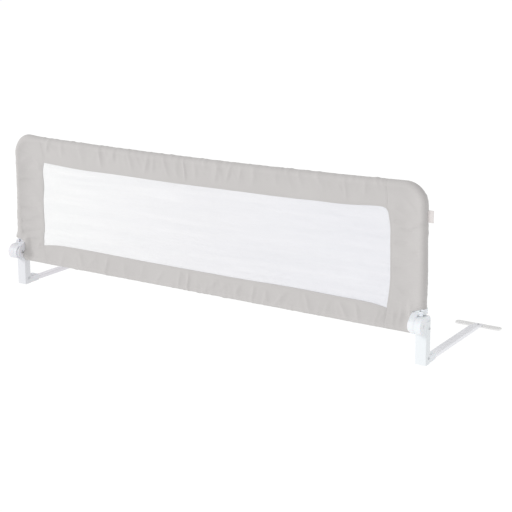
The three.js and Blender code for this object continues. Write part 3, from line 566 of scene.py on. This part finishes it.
# How far the cloth's outer layer stands proud at a place of the cover: creases that fade out at the sewn edge,
# the stitched groove beside it, the dips and puckers of the upright seams, and the doubled hem of the cut-out
def standProud(x, z, table):
    edge, hem, seam = fromWindow(x, z), fromCutout(x, z), np.abs(np.abs(x) - c["seamX"])
    hold = k["creaseAtHem"] + (1 - k["creaseAtHem"]) * ease(hem / k["creaseHemFade"])
    creases = creaseField(x, z, table) * ease(edge / k["creaseFade"]) * hold
    groove = -k["grooveDepth"] * np.exp(-((edge - k["stitchInset"]) / k["grooveHalf"]) ** 2)
    dip = -k["seamDip"] * np.exp(-(seam / k["seamHalf"]) ** 2)
    pucker = k["pucker"] * np.sin(z / k["puckerPitch"] * 2 * math.pi)
    pucker = pucker * np.exp(-((seam - k["puckerFrom"]) / k["puckerHalf"]) ** 2)
    doubled = k["hemRise"] * (1 - ease((hem - k["hemWidth"]) / k["hemEnd"]))
    return creases + groove + (dip + pucker) * ease(edge / k["seamFade"]) + doubled


# Where the real cover is drawn off its even lines: x, z, shift in x, shift in z, reach in x, reach in z
coverPulls = np.array([
    (-752, 157, -10, 0, 50, 22), (-750, 215, -4, 0, 40, 60), (-705, 505, 0, 3.2, 45, 40),
    (752, 250, 2.2, 0, 40, 80), (-480, 427, 0, -3.4, 120, 30), (110, 427, 0, 1.6, 150, 30),
    (390, 427, 0, 1.2, 60, 30), (600, 427, -1.5, 5, 70, 28), (-480, 151, 0, 3.2, 200, 26),
    (320, 151, 0, 2.4, 110, 26), (-636, 166, -9.5, 0, 40, 27), (-638, 342, 4, 0, 30, 28),
    (-638, 398, -3, 0, 30, 20), (638, 376, 2.2, 0, 30, 28), (638, 215, 2, 0, 30, 45), (630, 427, -4.5, -3.5, 11, 8),
    (-726, 155, 0, 4, 8, 10), (-630, 140, -10, 0, 30, 13),
]) * mm


# Distance in the cover's plane from the nearest tube's centre line
def fromTube(x, z):
    across = np.abs(x)
    bend = (across >= bendX) & (z >= bendZ)
    top = np.where(across < bendX, np.abs(z - topLineZ(x)), 1.0)
    side = np.where((z < bendZ) & (z > c["cutoutZ"]), np.abs(across - c["sideX"]), 1.0)
    corner = np.where(bend, np.abs(np.hypot(across - bendX, z - bendZ) - c["bendRadius"]), 1.0)
    bottom = np.where(across < c["endX"], np.abs(z - c["bottomZ"]), 1.0)
    return np.minimum(np.minimum(top, side), np.minimum(corner, bottom))


# Each pull moves the cloth by its shift times a bell round its place, and the tubes hold it out
def pulled(points):
    x, y, z = np.moveaxis(points, -1, 0)
    moveX, moveZ = 0 * x, 0 * z
    for cx, cz, dx, dz, reachX, reachZ in coverPulls:
        bell = np.exp(-((x - cx) / reachX) ** 2 - ((z - cz) / reachZ) ** 2)
        moveX, moveZ = moveX + dx * bell, moveZ + dz * bell
    x, z, depth = x + moveX, z + moveZ, y - c["planeY"]
    least = np.sqrt(np.maximum((k["tubeRadius"] - k["give"]) ** 2 - fromTube(x, z) ** 2, 0))
    return stacked(x, c["planeY"] + np.where(depth > 0, 1, -1) * np.maximum(np.abs(depth), least), z)


closeSteps = np.array([0, 0.8, 1.6, 2.6, 3.6, 4.4, 5.2, 6.2, 7.6, 9.4]) * mm


# Steps that are close beside both edges of a strip and wider between
def stepsBetween(length, step, closeEnd=True):
    end = length - closeSteps[::-1] if closeEnd else np.array([length])
    count = max(2, int(round((end[0] - closeSteps[-1]) / step)))
    return np.concatenate([closeSteps[:-1], np.linspace(closeSteps[-1], end[0], count + 1), end[1:]])


# One strip of cloth round a tube. Each line runs from the sewn edge up the front layer, round the tube and down
# the back layer; centre is the tube's centre, inward the direction from it to the web, and edge the sewn edge
def sleevePoints(centre, inward, edge, shares, extraGap=None, slipPower=2):
    reach = np.linalg.norm(edge - centre, axis=1)[:, None]
    h = webStart + (reach - webStart) * shares
    slip = (edge - centre - inward * reach)[:, None] * shares[:, None] ** slipPower
    flat = centre[:, None] + inward[:, None] * h[..., None] + slip
    gap = halfGap(h, reach)
    if extraGap is not None:
        gap = extraGap(flat, gap)
    x, z = np.moveaxis(flat, -1, 0)
    wave = creaseField(x, z, waveTable) * ease(fromWindow(x, z) / k["waveFade"])
    wave *= ease((h - webStart) / k["waveFrom"])
    wave *= ease((c["bottomZ"] + k["waveTop"] - z) / k["waveLow"]) + ease((z - c["cutoutZ"]) / k["waveHigh"])
    least = np.sqrt(np.maximum((k["tubeRadius"] - k["give"]) ** 2 - h ** 2, 0))    # the tube holds the cloth out
    webs = [stacked(x, c["planeY"] + way * np.maximum(gap + standProud(x, z, table), least) + wave, z)
            for way, table in ((-1, frontTable), (1, backTable))]

    angle = np.radians(np.linspace(k["leaveAngle"], 360 - k["leaveAngle"], k["arcSteps"] + 1))[1:-1]
    ring = centre[:, None] + inward[:, None] * (k["tubeRadius"] * np.cos(angle))[:, None]
    towards = np.clip(angle, math.pi / 2, 3 * math.pi / 2)
    frontShare = (1 + np.sin(towards)) / 2
    frontPush, backPush = (standProud(*np.moveaxis(ring, -1, 0), table) for table in (frontTable, backTable))
    push = np.maximum(frontPush * frontShare + backPush * (1 - frontShare), -k["give"])
    ring = ring + inward[:, None] * (np.cos(towards) * push)[..., None]
    ringY = c["planeY"] - k["tubeRadius"] * np.sin(angle) - np.sin(towards) * push
    arc = stacked(ring[..., 0], ringY, ring[..., 1])
    return np.concatenate([webs[0], arc, webs[1][:, ::-1]], 1)


# Quads over a grid of points, and a flat pattern for the weave from the lengths along and across the grid
def gridFaces(rows, columns, flip=False):
    i = np.arange(rows - 1)[:, None] * columns + np.arange(columns - 1)[None, :]
    quad = stacked(i, i + 1, i + columns + 1, i + columns).reshape(-1, 4)
    return quad[:, ::-1] if flip else quad


def patternOf(points):
    across = np.linalg.norm(np.diff(points, axis=1), axis=2)
    along = np.linalg.norm(np.diff(points, axis=0), axis=2)
    middle = points.shape[1] // 2
    u = np.concatenate([np.zeros((len(points), 1)), np.cumsum(across, 1)], 1)
    u -= u[:, middle:middle + 1]
    v = np.concatenate([[0], np.cumsum(along[:, middle])])[:, None] + 0 * u
    return stacked(u, v)


def clothObject(name, patches, flip):
    points, faces, pattern, count = [], [], [], 0
    for patch in patches:
        rows, columns = patch.shape[:2]
        points.append(patch.reshape(-1, 3))
        pattern.append(patternOf(patch).reshape(-1, 2))
        faces.append(gridFaces(rows, columns, flip) + count)
        count += rows * columns
    made = meshObject(name, clothMaterial, *(np.concatenate(parts) for parts in (points, faces, pattern)))
    mended(made.data, k["merge"])
    addWall(made, "clothWall", k["thickness"], -1.0)
    return made


def bandPatch(centreZ, edgeZ):
    centre, edge = stacked(bandX, centreZ), stacked(bandX, edgeZ)
    inward = stacked(0 * bandX, np.sign(edgeZ - centreZ))
    reach = np.abs(edgeZ - centreZ).mean() - webStart
    shares = 1 - stepsBetween(reach, k["step"], False) / reach
    return pulled(sleevePoints(centre, inward, edge, shares))


bandHalf = c["seamX"] - k["seamGap"]
bandX = stepsBetween(2 * bandHalf, k["step"]) - bandHalf
topPatch = bandPatch(topLineZ(bandX), windowTopLine(bandX) + k["seamGap"])
bottomPatch = bandPatch(0 * bandX + c["bottomZ"], windowBottomLine(bandX) - k["seamGap"])
topBand = clothObject("topBand", [topPatch], True)
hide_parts("cover_top_band")
bottomBand = clothObject("bottomBand", [bottomPatch], False)
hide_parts("cover_bottom_band")
print("top and bottom bands made")


# The cloth over the fitting's square head; then the open end: its hem, what reaches the post in front and behind,
# and the bulge before the link
headShape = inMm(half=14.7, reachX=24, fadeX=18, reachZ=24, fadeZ=22, lowFrom=116, lowFade=30, tubeFrom=112)
endShape = inMm(hemX=742, hemReach=26, hemDrop=10, slopeX=672, slopeReach=44, dropReach=44, fade=30, postX=722.5,
                frontTop=90.5, frontFade=3, backTop=140, backFade=8, bulgeZ=113, bulgeReach=17, bulge=8.5,
                leftBulge=14.0, slack=0.01)


# Over the fitting's square head the cloth stands off its faces
def hemGap(flat, gap):
    across, height, s = np.abs(flat[..., 0]), flat[..., 1], headShape
    near = ease((across - c["endX"] + s["reachX"]) / s["fadeX"]) * ease((height - s["lowFrom"]) / s["lowFade"])
    near = near * ease((c["cutoutZ"] + s["reachZ"] - height) / s["fadeZ"])
    return gap + (np.maximum(gap, s["half"]) - gap) * near


# The open end by the fitting: its upper hem slopes down towards the window, its front is drawn forward where the
# link comes in, and below and behind the link it reaches the post
def drawnEnd(points):
    x, y, z = np.moveaxis(points, -1, 0)
    across, front, s = np.abs(x), y < c["planeY"], endShape
    slope = np.clip((s["hemX"] - across) / s["hemReach"], 0, 1) * ease((across - s["slopeX"]) / s["slopeReach"])
    drop = s["hemDrop"] * slope * ease(1 - np.abs(z - c["cutoutZ"]) / s["dropReach"])
    end = ease((across - c["endX"] + s["fade"]) / s["fade"]) * (z < c["cutoutZ"] + s["slack"])
    clearFront, clearBack = (ease((s[way + "Top"] - z) / s[way + "Fade"]) for way in ("front", "back"))
    clear = np.where(front, clearFront, clearBack)
    reach = (s["postX"] - c["endX"]) * end * clear * (across < c["endX"] + s["slack"])
    bell = np.exp(-((z - s["bulgeZ"]) / s["bulgeReach"]) ** 2)
    forward = np.where(x < 0, s["leftBulge"], s["bulge"]) * end * bell * front
    return stacked(np.sign(x) * (across + reach), y - forward, z - drop)


# Side strip: the upright sleeve, whose lines fan round the corner to the seam, and below the cut-out's level
# a piece round the bottom tube. side is +1 or -1, and every place is worked out at +X and then mirrored
def sideStrip(side):
    def inner(z):
        return np.where(z > cornerZ, windowSideLine(z), c["seamX"]) + k["seamGap"]

    def mirror(flat):
        return stacked(flat[..., 0] * side, flat[..., 1])

    s = stepsBetween(sideLineLength - k["seamGap"], k["step"])
    centre, along = sideLine(s)
    inward = stacked(-along[:, 1], along[:, 0])
    rise = c["windowTopZ"] - c["cutoutZ"]
    edgeZ = c["cutoutZ"] + rise * (1 - (1 - s / s[-1]) ** (s[-1] / rise))
    edge = stacked(inner(edgeZ), edgeZ)
    reach = c["sideX"] - edge[0, 0] - webStart
    cut = c["endX"] - edge[0, 0]
    cutSteps = stepsBetween(cut, k["step"])
    shares = 1 - np.concatenate([cutSteps, cut + stepsBetween(reach - cut, k["step"], False)[1:]]) / reach
    upper = sleevePoints(mirror(centre), mirror(inward), mirror(edge), shares, hemGap)

    lowX, highX = (inner(z) + cutSteps / cut * (c["endX"] - inner(z)) for z in (c["bottomZ"], c["cutoutZ"]))
    nought = 0 * lowX
    lowCentre, lowEdge = stacked(lowX, nought + c["bottomZ"]), stacked(highX, nought + c["cutoutZ"])

    # Here the cloth runs round both tubes, so its gap is the cubic mean of their two webs
    def lowGap(flat, gap):
        across, height = np.abs(flat[..., 0]), flat[..., 1]
        upright = halfGap(c["sideX"] - across, reach + webStart) - k["edgeHalf"]
        upright = upright * ease((height - headShape["tubeFrom"]) / (c["cutoutZ"] - headShape["tubeFrom"]))
        level = halfGap(height - c["bottomZ"], windowBottomLine(across) - c["bottomZ"]) - k["edgeHalf"]
        level = np.where(height > windowBottomLine(across), 0, level)
        both = (np.maximum(upright, 0) ** 3 + np.maximum(level, 0) ** 3) ** (1 / 3)
        return hemGap(flat, k["edgeHalf"] + both)

    shares = np.linspace(1, 0, k["lowSteps"])
    lower = sleevePoints(mirror(lowCentre), stacked(nought, nought + 1), mirror(lowEdge), shares, lowGap, 5)
    return pulled(drawnEnd(upper)), pulled(drawnEnd(lower))


stripPatches = {label: sideStrip(side) for side, label in ((1, "right"), (-1, "left"))}
for label, patches in stripPatches.items():
    strip = clothObject(label + "SideStrip", patches, label == "left")
    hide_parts(label + "_cover_side_strip")
    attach(strip, "rail")
for piece in (topBand, bottomBand):
    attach(piece, "rail")
print("side strips made")


# Net in the window: a sheet whose edges run a little way between the two layers of cloth, drawn into faint
# level waves by the tension of the cover

netShape = {**inMm(tuck=4, step=5, billow=1.2, wave=0.35, wavePitch=33, thickness=0.4),
            "waveTurn": 4.0, "waveSway": 3.0, "holdAcross": 6.0, "holdUp": 8.0}


def makeNet(shape):
    low, high = c["windowBottomZ"], c["windowTopZ"]
    across, up = int(2 * c["seamX"] / shape["step"]), int((high - low) / shape["step"])
    u, v = np.meshgrid(np.linspace(-1, 1, across + 1), np.linspace(0, 1, up + 1))
    x = u * (windowSideLine(low + (high - low) * v) + shape["tuck"])
    inside = np.clip(x, -c["seamX"], c["seamX"])
    bottom, top = windowBottomLine(inside) - shape["tuck"], windowTopLine(inside) + shape["tuck"]
    z = bottom + (top - bottom) * v
    hold = np.minimum(1, shape["holdAcross"] * (1 - np.abs(u))) * np.minimum(1, shape["holdUp"] * v * (1 - v))
    turn = z / shape["wavePitch"] * 2 * math.pi + shape["waveSway"] * np.sin(x * shape["waveTurn"])
    y = c["planeY"] + shape["billow"] * (1 - u ** 2) * 4 * v * (1 - v) + shape["wave"] * np.sin(turn) * hold
    points = pulled(stacked(x, y, z))
    net = meshObject("windowNet", netMaterial, points, gridFaces(up + 1, across + 1), stacked(x, z))
    addWall(net, "netWall", shape["thickness"], 0.0)
    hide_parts("window_net")
    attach(net, "rail")
    return net


net = makeNet(netShape)
print("net made")


# Label: a bare loop of woven tape sewn into the side, its fold outwards and its free corners a little curled

labelShape = {**inMm(low=403.2, height=33.6, start=749.2, reach=17.0, open=0.75, thickness=0.45, curl=5.2),
              "foldShare": 0.12, "belly": 0.9, "curlFrom": 0.4, "steps": 40, "rows": 24, "sewnColumns": (8, -9)}


def makeLabel(shape):
    share, bend = np.linspace(-1, 1, shape["steps"] + 1), shape["foldShare"]
    fold, run = shape["open"], shape["reach"] - shape["open"]
    straight, turn = np.abs(share) > bend, np.clip(share / bend, -1, 1) * math.pi / 2
    x = shape["start"] + np.where(straight, (1 - np.abs(share)) / (1 - bend) * run, run + fold * np.cos(turn))
    side = fold * np.sin(turn)
    rows = np.linspace(0, 1, shape["rows"] + 1)[:, None]
    lean = (x - shape["start"]) / shape["reach"]
    belly = 1 + shape["belly"] * np.sin(lean * math.pi) * np.sin(rows * math.pi)
    y = c["planeY"] + side * belly + shape["curl"] * lean ** 2 * (rows - shape["curlFrom"]) ** 2
    points = stacked(x + 0 * rows, y, shape["low"] + shape["height"] * rows + 0 * x)
    label = meshObject("labelLoop", tapeMaterial, points, gridFaces(len(rows), len(x)), patternOf(points))
    addWall(label, "tapeWall", shape["thickness"], 0.0)
    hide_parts("label_loop")
    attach(label, "rail")
    return label, points


label, labelPatch = makeLabel(labelShape)
print("label made")


# Stitches: lockstitch rows 5 mm inside the sewn edges, seams and hems. Each is a five-sided spindle laid along
# its row and sunk at both ends into the cloth

stitchShape = {**inMm(pitch=3.6, length=2.8, radius=0.32, probe=0.4), "inset": 6, "sides": 5,
               "stations": [-0.5, -0.22, 0.22, 0.5], "widths": [0.3, 1.0, 1.0, 0.3],
               "heights": [-0.7, 0.25, 0.25, -0.7]}


# Outward normals of a patch: the cross product of its two directions, turned so that the front layer's faces -Y
def patchNormals(patch):
    normals = np.cross(np.gradient(patch, axis=1), np.gradient(patch, axis=0))
    normals /= np.linalg.norm(normals, axis=-1, keepdims=True) + 1e-12
    return -np.sign(normals[:, :stitchShape["inset"], 1].mean()) * normals


# Places, directions and normals at an even pitch along one row of points
def stitchPlaces(points, normals, shape):
    def pick(values, where):
        return stacked(*(np.interp(where, length, column) for column in values.T))

    length = np.concatenate([[0], np.cumsum(np.linalg.norm(np.diff(points, axis=0), axis=1))])
    count = max(2, int(length[-1] / shape["pitch"]))
    at = (np.arange(count) + 0.5) * length[-1] / count
    along = pick(points, at + shape["probe"]) - pick(points, at - shape["probe"])
    return pick(points, at), along, pick(normals, at)


def stitchMesh(name, rows, shape):
    centre, along, out = (np.concatenate(parts) for parts in zip(*(stitchPlaces(p, n, shape) for p, n in rows)))
    along /= np.linalg.norm(along, axis=1, keepdims=True)
    out -= along * (out * along).sum(1, keepdims=True)
    out /= np.linalg.norm(out, axis=1, keepdims=True)
    centre, along, out, across = (v[:, None, None] for v in (centre, along, out, np.cross(along, out)))
    count, sides = len(shape["stations"]), shape["sides"]
    turn = (np.arange(sides) / sides * 2 * math.pi)[:, None]
    station, width, height = (np.array(shape[key])[:, None, None] for key in ("stations", "widths", "heights"))
    ring = across * np.cos(turn) + out * np.sin(turn)
    points = centre + along * station * shape["length"] + (out * height + ring * width) * shape["radius"]
    i, j = np.meshgrid(np.arange(count - 1), np.arange(sides), indexing="ij")
    a, b = i * sides + j, i * sides + (j + 1) % sides
    quads = stacked(a, b, b + sides, a + sides).reshape(-1, 4)
    fan, last = np.arange(1, sides - 1), (count - 1) * sides
    faces = np.concatenate([quads[:, [0, 1, 2]], quads[:, [0, 2, 3]], np.stack([0 * fan, fan + 1, fan], 1),
                            last + np.stack([0 * fan, fan, fan + 1], 1)])
    faces = (faces[None] + (np.arange(len(centre)) * count * sides)[:, None, None]).reshape(-1, 3)
    made = meshObject(name, threadMaterial, points, faces)
    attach(made, "rail")
    print(name, len(centre), "stitches")
    return made


n = stitchShape["inset"]
rows = []
for patch in (topPatch, bottomPatch):
    normals = patchNormals(patch)
    web = (patch.shape[1] - k["arcSteps"] + 1) // 2
    layers = (slice(n, web), slice(patch.shape[1] - web, -n))
    rows += [(patch[:, j], normals[:, j]) for j in (n, -1 - n)]
    rows += [(patch[i, part], normals[i, part]) for i in (n, -1 - n) for part in layers]
for upper, lower in stripPatches.values():
    high, low = patchNormals(upper), patchNormals(lower)
    rows += [(upper[:-n, j], high[:-n, j]) for j in (n, -1 - n)]
    over = np.flatnonzero(np.abs(upper[n, :, 0]) > c["endX"] + mm)
    rows += [(upper[n, over], high[n, over]), (lower[-1 - n], low[-1 - n])]
labelNormals = patchNormals(labelPatch)
for j in labelShape["sewnColumns"]:
    places, normals = labelPatch[2:-2, j], labelNormals[2:-2, j]
    rows.append((places, normals * np.where(places[:, 1:2] < c["planeY"], -1, 1) * np.sign(normals[:, 1:2])))
stitchMesh("coverStitches", rows, stitchShape)


# Moulded and pressed parts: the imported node, its faces joined and its edges rounded, in its real finish

roundedParts = {    # finish, and width of the rounded edge in mm
    "post": (paintMaterial, 0.8), "leg_bracket": (mouldingMaterial, 0.7), "leg_bar": (legMaterial, 0.35),
    "foot_bar": (footMaterial, 0.9), "hinge_housing": (mouldingMaterial, 0.8),
    "corner_connector": (mouldingMaterial, 0.8), "lock_slider": (mouldingMaterial, 0.35),
}
partBodies = {name: body for body, names in frame["record"]["behaviour"]["bodies"].items() for name in names}
roundedShape = {"merge": 0.004 * mm, "flatAngle": math.radians(1.5), "sharpAngle": math.radians(32), "segments": 3}


# The head over the post is narrowed outwards; the thumb pad stands forward, clear of the cloth above it, and its
# lower edge leans out to the neck's face
headTrim = {**inMm(start=737, low=144.2, padForward=2.4, padLean=3.6, padFace=13.2, padTop=151, padFall=8,
                   padDrop=1.2), "share": 0.70}
postTrim = inMm(frontFrom=-174, forward=8)
footTrim = inMm(frontFrom=210, forward=4, topFrom=2.6, lift=0.5)
# The leg lies low between its bracket and its flattened end, which is screwed down on the foot bar
legTrim = {**inMm(mouth=-116, mouthFade=9, lower=4.1, flatFrom=180, flatLength=20, middle=10.3, tabMiddle=5.4),
           "tabShare": 0.12, "cuts": [-116, -113, -110, -107, 180, 184, 188, 192, 196, 200]}


def trimmed(points, part):
    x, y, z = points.T
    if part == "post":
        return stacked(x, y - (y < postTrim["frontFrom"]) * postTrim["forward"], z)
    if part == "foot_bar":
        front, top = y < footTrim["frontFrom"], z > footTrim["topFrom"]
        return stacked(x, y - front * footTrim["forward"], z + top * footTrim["lift"])
    if part == "leg_bar":
        flat = ease((y - legTrim["flatFrom"]) / legTrim["flatLength"])
        low = z - legTrim["lower"] * ease((y - legTrim["mouth"]) / legTrim["mouthFade"])
        tab = legTrim["tabMiddle"] + (z - legTrim["middle"]) * legTrim["tabShare"]
        return stacked(x, y, low * (1 - flat) + tab * flat)
    trim, across = headTrim, np.abs(x)
    outward = ((across > trim["start"]) & (z > trim["low"])) * (1 - trim["share"]) * (across - trim["start"])
    pad = (part == "lock_slider") * (y < c["planeY"] - trim["padFace"])
    share = np.clip((trim["padTop"] - z) / trim["padFall"], 0, 1) * pad
    forward = trim["padForward"] * pad + trim["padLean"] * share
    return stacked(np.sign(x) * (across - outward), y - forward, z - trim["padDrop"] * share)


def flattened(bm):
    bmesh.ops.dissolve_limit(bm, angle_limit=roundedShape["flatAngle"], verts=bm.verts, edges=bm.edges)


def cutAcross(bm):
    for cut in legTrim["cuts"]:
        every = bm.verts[:] + bm.edges[:] + bm.faces[:]
        bmesh.ops.bisect_plane(bm, geom=every, plane_co=(0, cut * mm, 0), plane_no=(0, 1, 0))


def roundedCopy(nodeName, material, width, shape):
    mesh = nodes[nodeName].data.copy()
    part = nodeName.split("_", 1)[1]
    mended(mesh, shape["merge"], flattened, *([cutAcross] if part == "leg_bar" else []))
    if part in ("corner_connector", "lock_slider", "post", "leg_bar", "foot_bar"):
        place = np.empty(3 * len(mesh.vertices), np.float32)
        mesh.vertices.foreach_get("co", place)
        moved = trimmed(place.reshape(-1, 3).astype(float), part)
        mesh.vertices.foreach_set("co", moved.astype(np.float32).ravel())
    mesh.shade_smooth()
    mesh.update()
    mesh.name = nodeName + "Rounded"
    mesh.set_sharp_from_angle(angle=shape["sharpAngle"])
    mesh.materials.clear()
    mesh.materials.append(material)
    made = newObject(nodeName + "Rounded", mesh)
    bevel = made.modifiers.new("softEdge", "BEVEL")
    bevel.limit_method, bevel.angle_limit = "ANGLE", shape["sharpAngle"]
    bevel.width, bevel.segments, bevel.use_clamp_overlap = width, shape["segments"], True
    made.modifiers.new("evenShade", "WEIGHTED_NORMAL").keep_sharp = True
    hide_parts(nodeName)
    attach(made, partBodies[nodeName])
    return made


for side in ("left", "right"):
    for part, (material, width) in roundedParts.items():
        piece = roundedCopy(f"{side}_{part}", material, width * mm, roundedShape)
print("moulded and pressed parts rounded")


closedShape = {"merge": 0.002 * mm, "sharpAngle": math.radians(50)}


# A closed zinc part from a grid of points: its doubled points joined and its faces turned outwards
def closedPart(name, points, flip):
    made = meshObject(name, zincMaterial, points, gridFaces(*points.shape[:2], flip))
    mended(made.data, closedShape["merge"], facedOut)
    made.data.set_sharp_from_angle(angle=closedShape["sharpAngle"])
    return made


# Screws and bolts: a domed head with a cross recess, turned from a profile about the node's own axis

screwShape = {
    **inMm(headRadius=3.6, headHeight=2.0, domeFall=0.45, rimFall=0.35, shankRadius=2.0, shankGap=0.1, tip=0.4,
           recessReach=2.2, recessHalf=0.42, recessDepth=1.1, recessWall=0.33, recessEnd=0.4),
    "domeSteps": 19, "turns": 48, "domeShare": 0.86, "rimFrom": 0.85,
    "rim": [0.93, 0.98, 1.0, 1.0, 0.97, 0.62], "rimDepths": [0.55, 0.93, 1.0, 1.0],    # of the radius and the height
    "shank": [1.0, 1.0, 0.8, 0.0],
}
screwLifts = {"bracket_bolt": 0, "housing_screw": 0, "leg_screw": 0, "foot_screw": -2.0 * mm}


# Height over the head's seat: a shallow dome less the cross, whose walls fall away over a third of a millimetre;
# then the rim, the seat and the shank down to its end
def screwMesh(name, tip, head, shape):
    axis = Vector(head) - Vector(tip)
    length, seat = axis.length, axis.length - shape["headHeight"]
    share = np.concatenate([np.linspace(0, shape["domeShare"], shape["domeSteps"]), shape["rim"]])
    height = length - shape["domeFall"] * share ** 2
    height -= shape["rimFall"] * ease((share - shape["rimFrom"]) / (1 - shape["rimFrom"]))
    height[-4:] = length - shape["headHeight"] * np.array(shape["rimDepths"])
    radius = np.concatenate([share * shape["headRadius"], shape["shankRadius"] * np.array(shape["shank"])])
    height = np.concatenate([height, [seat - shape["shankGap"], shape["tip"], 0.0, 0.0]])
    r, a = np.meshgrid(radius, np.linspace(0, 2 * math.pi, shape["turns"] + 1), indexing="ij")
    x, y = r * np.cos(a), r * np.sin(a)
    cross = 1 - ease((np.minimum(np.abs(x), np.abs(y)) - shape["recessHalf"]) / shape["recessWall"])
    cross *= 1 - ease((r - shape["recessReach"]) / shape["recessEnd"])
    cross[shape["domeSteps"]:] = 0
    turned = np.array(axis.to_track_quat("Z", "Y").to_matrix())
    points = stacked(x, y, height[:, None] - shape["recessDepth"] * cross) @ turned.T + np.array(tip)
    return closedPart(name, points, True)


for side in ("left", "right"):
    for part, lift in screwLifts.items():
        nodeName = f"{side}_{part}"
        low, high = (np.array(corner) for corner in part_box(nodeName))
        tip, head = (low + high) / 2, (low + high) / 2
        axis = 0 if part in ("bracket_bolt", "housing_screw") else 2
        tip[axis], head[axis] = low[axis], high[axis] + lift
        if axis == 0 and side == "left":
            tip, head = head, tip
        screw = screwMesh(side + part.title().replace("_", ""), tip, head, screwShape)
        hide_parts(nodeName)
        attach(screw, partBodies[nodeName])
print("screws made")


# Lock springs: the wire's centre line rises evenly round the plunger's guide, with a ring of points square to it
# at each step and a point at both ends.

springShape = {**inMm(wire=0.9, travel=4.5), "turns": 5, "steps": 20, "sides": 10}


def springMesh(name, low, high, shape):
    wire, turns = shape["wire"], shape["turns"]
    radius, rise = (high[0] - low[0] - wire) / 2, high[2] - low[2] - wire
    share = np.linspace(0, 1, turns * shape["steps"] + 1)[:, None]
    angle = share * turns * 2 * math.pi
    outward = np.concatenate([np.cos(angle), np.sin(angle), 0 * angle], 1)
    middle = np.array([(low[0] + high[0]) / 2, (low[1] + high[1]) / 2, low[2] + wire / 2])
    line = middle + radius * outward + share * np.array([0, 0, rise])
    along = np.gradient(line, axis=0)
    beside = np.cross(along / np.linalg.norm(along, axis=1, keepdims=True), outward)
    turn = np.linspace(0, 2 * math.pi, shape["sides"] + 1)[None, :, None]
    rings = line[:, None] + wire / 2 * (outward[:, None] * np.cos(turn) + beside[:, None] * np.sin(turn))
    first, last = (line[i] + 0 * rings[:1] for i in (0, -1))
    return closedPart(name, np.concatenate([first, rings, last]), False)


for side in ("left", "right"):
    low, high = (np.array(corner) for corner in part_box(side + "_lock_spring"))
    coil = springMesh(side + "LockSpring", low, high, springShape)
    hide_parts(side + "_lock_spring")
    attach(coil, "rail")
    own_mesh(coil)
print("lock springs made")


# What stays as packed gets its finish here
keptFinish = {"tube": paintMaterial, "sleeve": zincMaterial, "nut": zincMaterial, "pin": zincMaterial}
for name, node in nodes.items():
    ending = name.split("_")[-1]
    if ending in keptFinish:
        node.data.materials.clear()
        node.data.materials.append(keptFinish[ending])
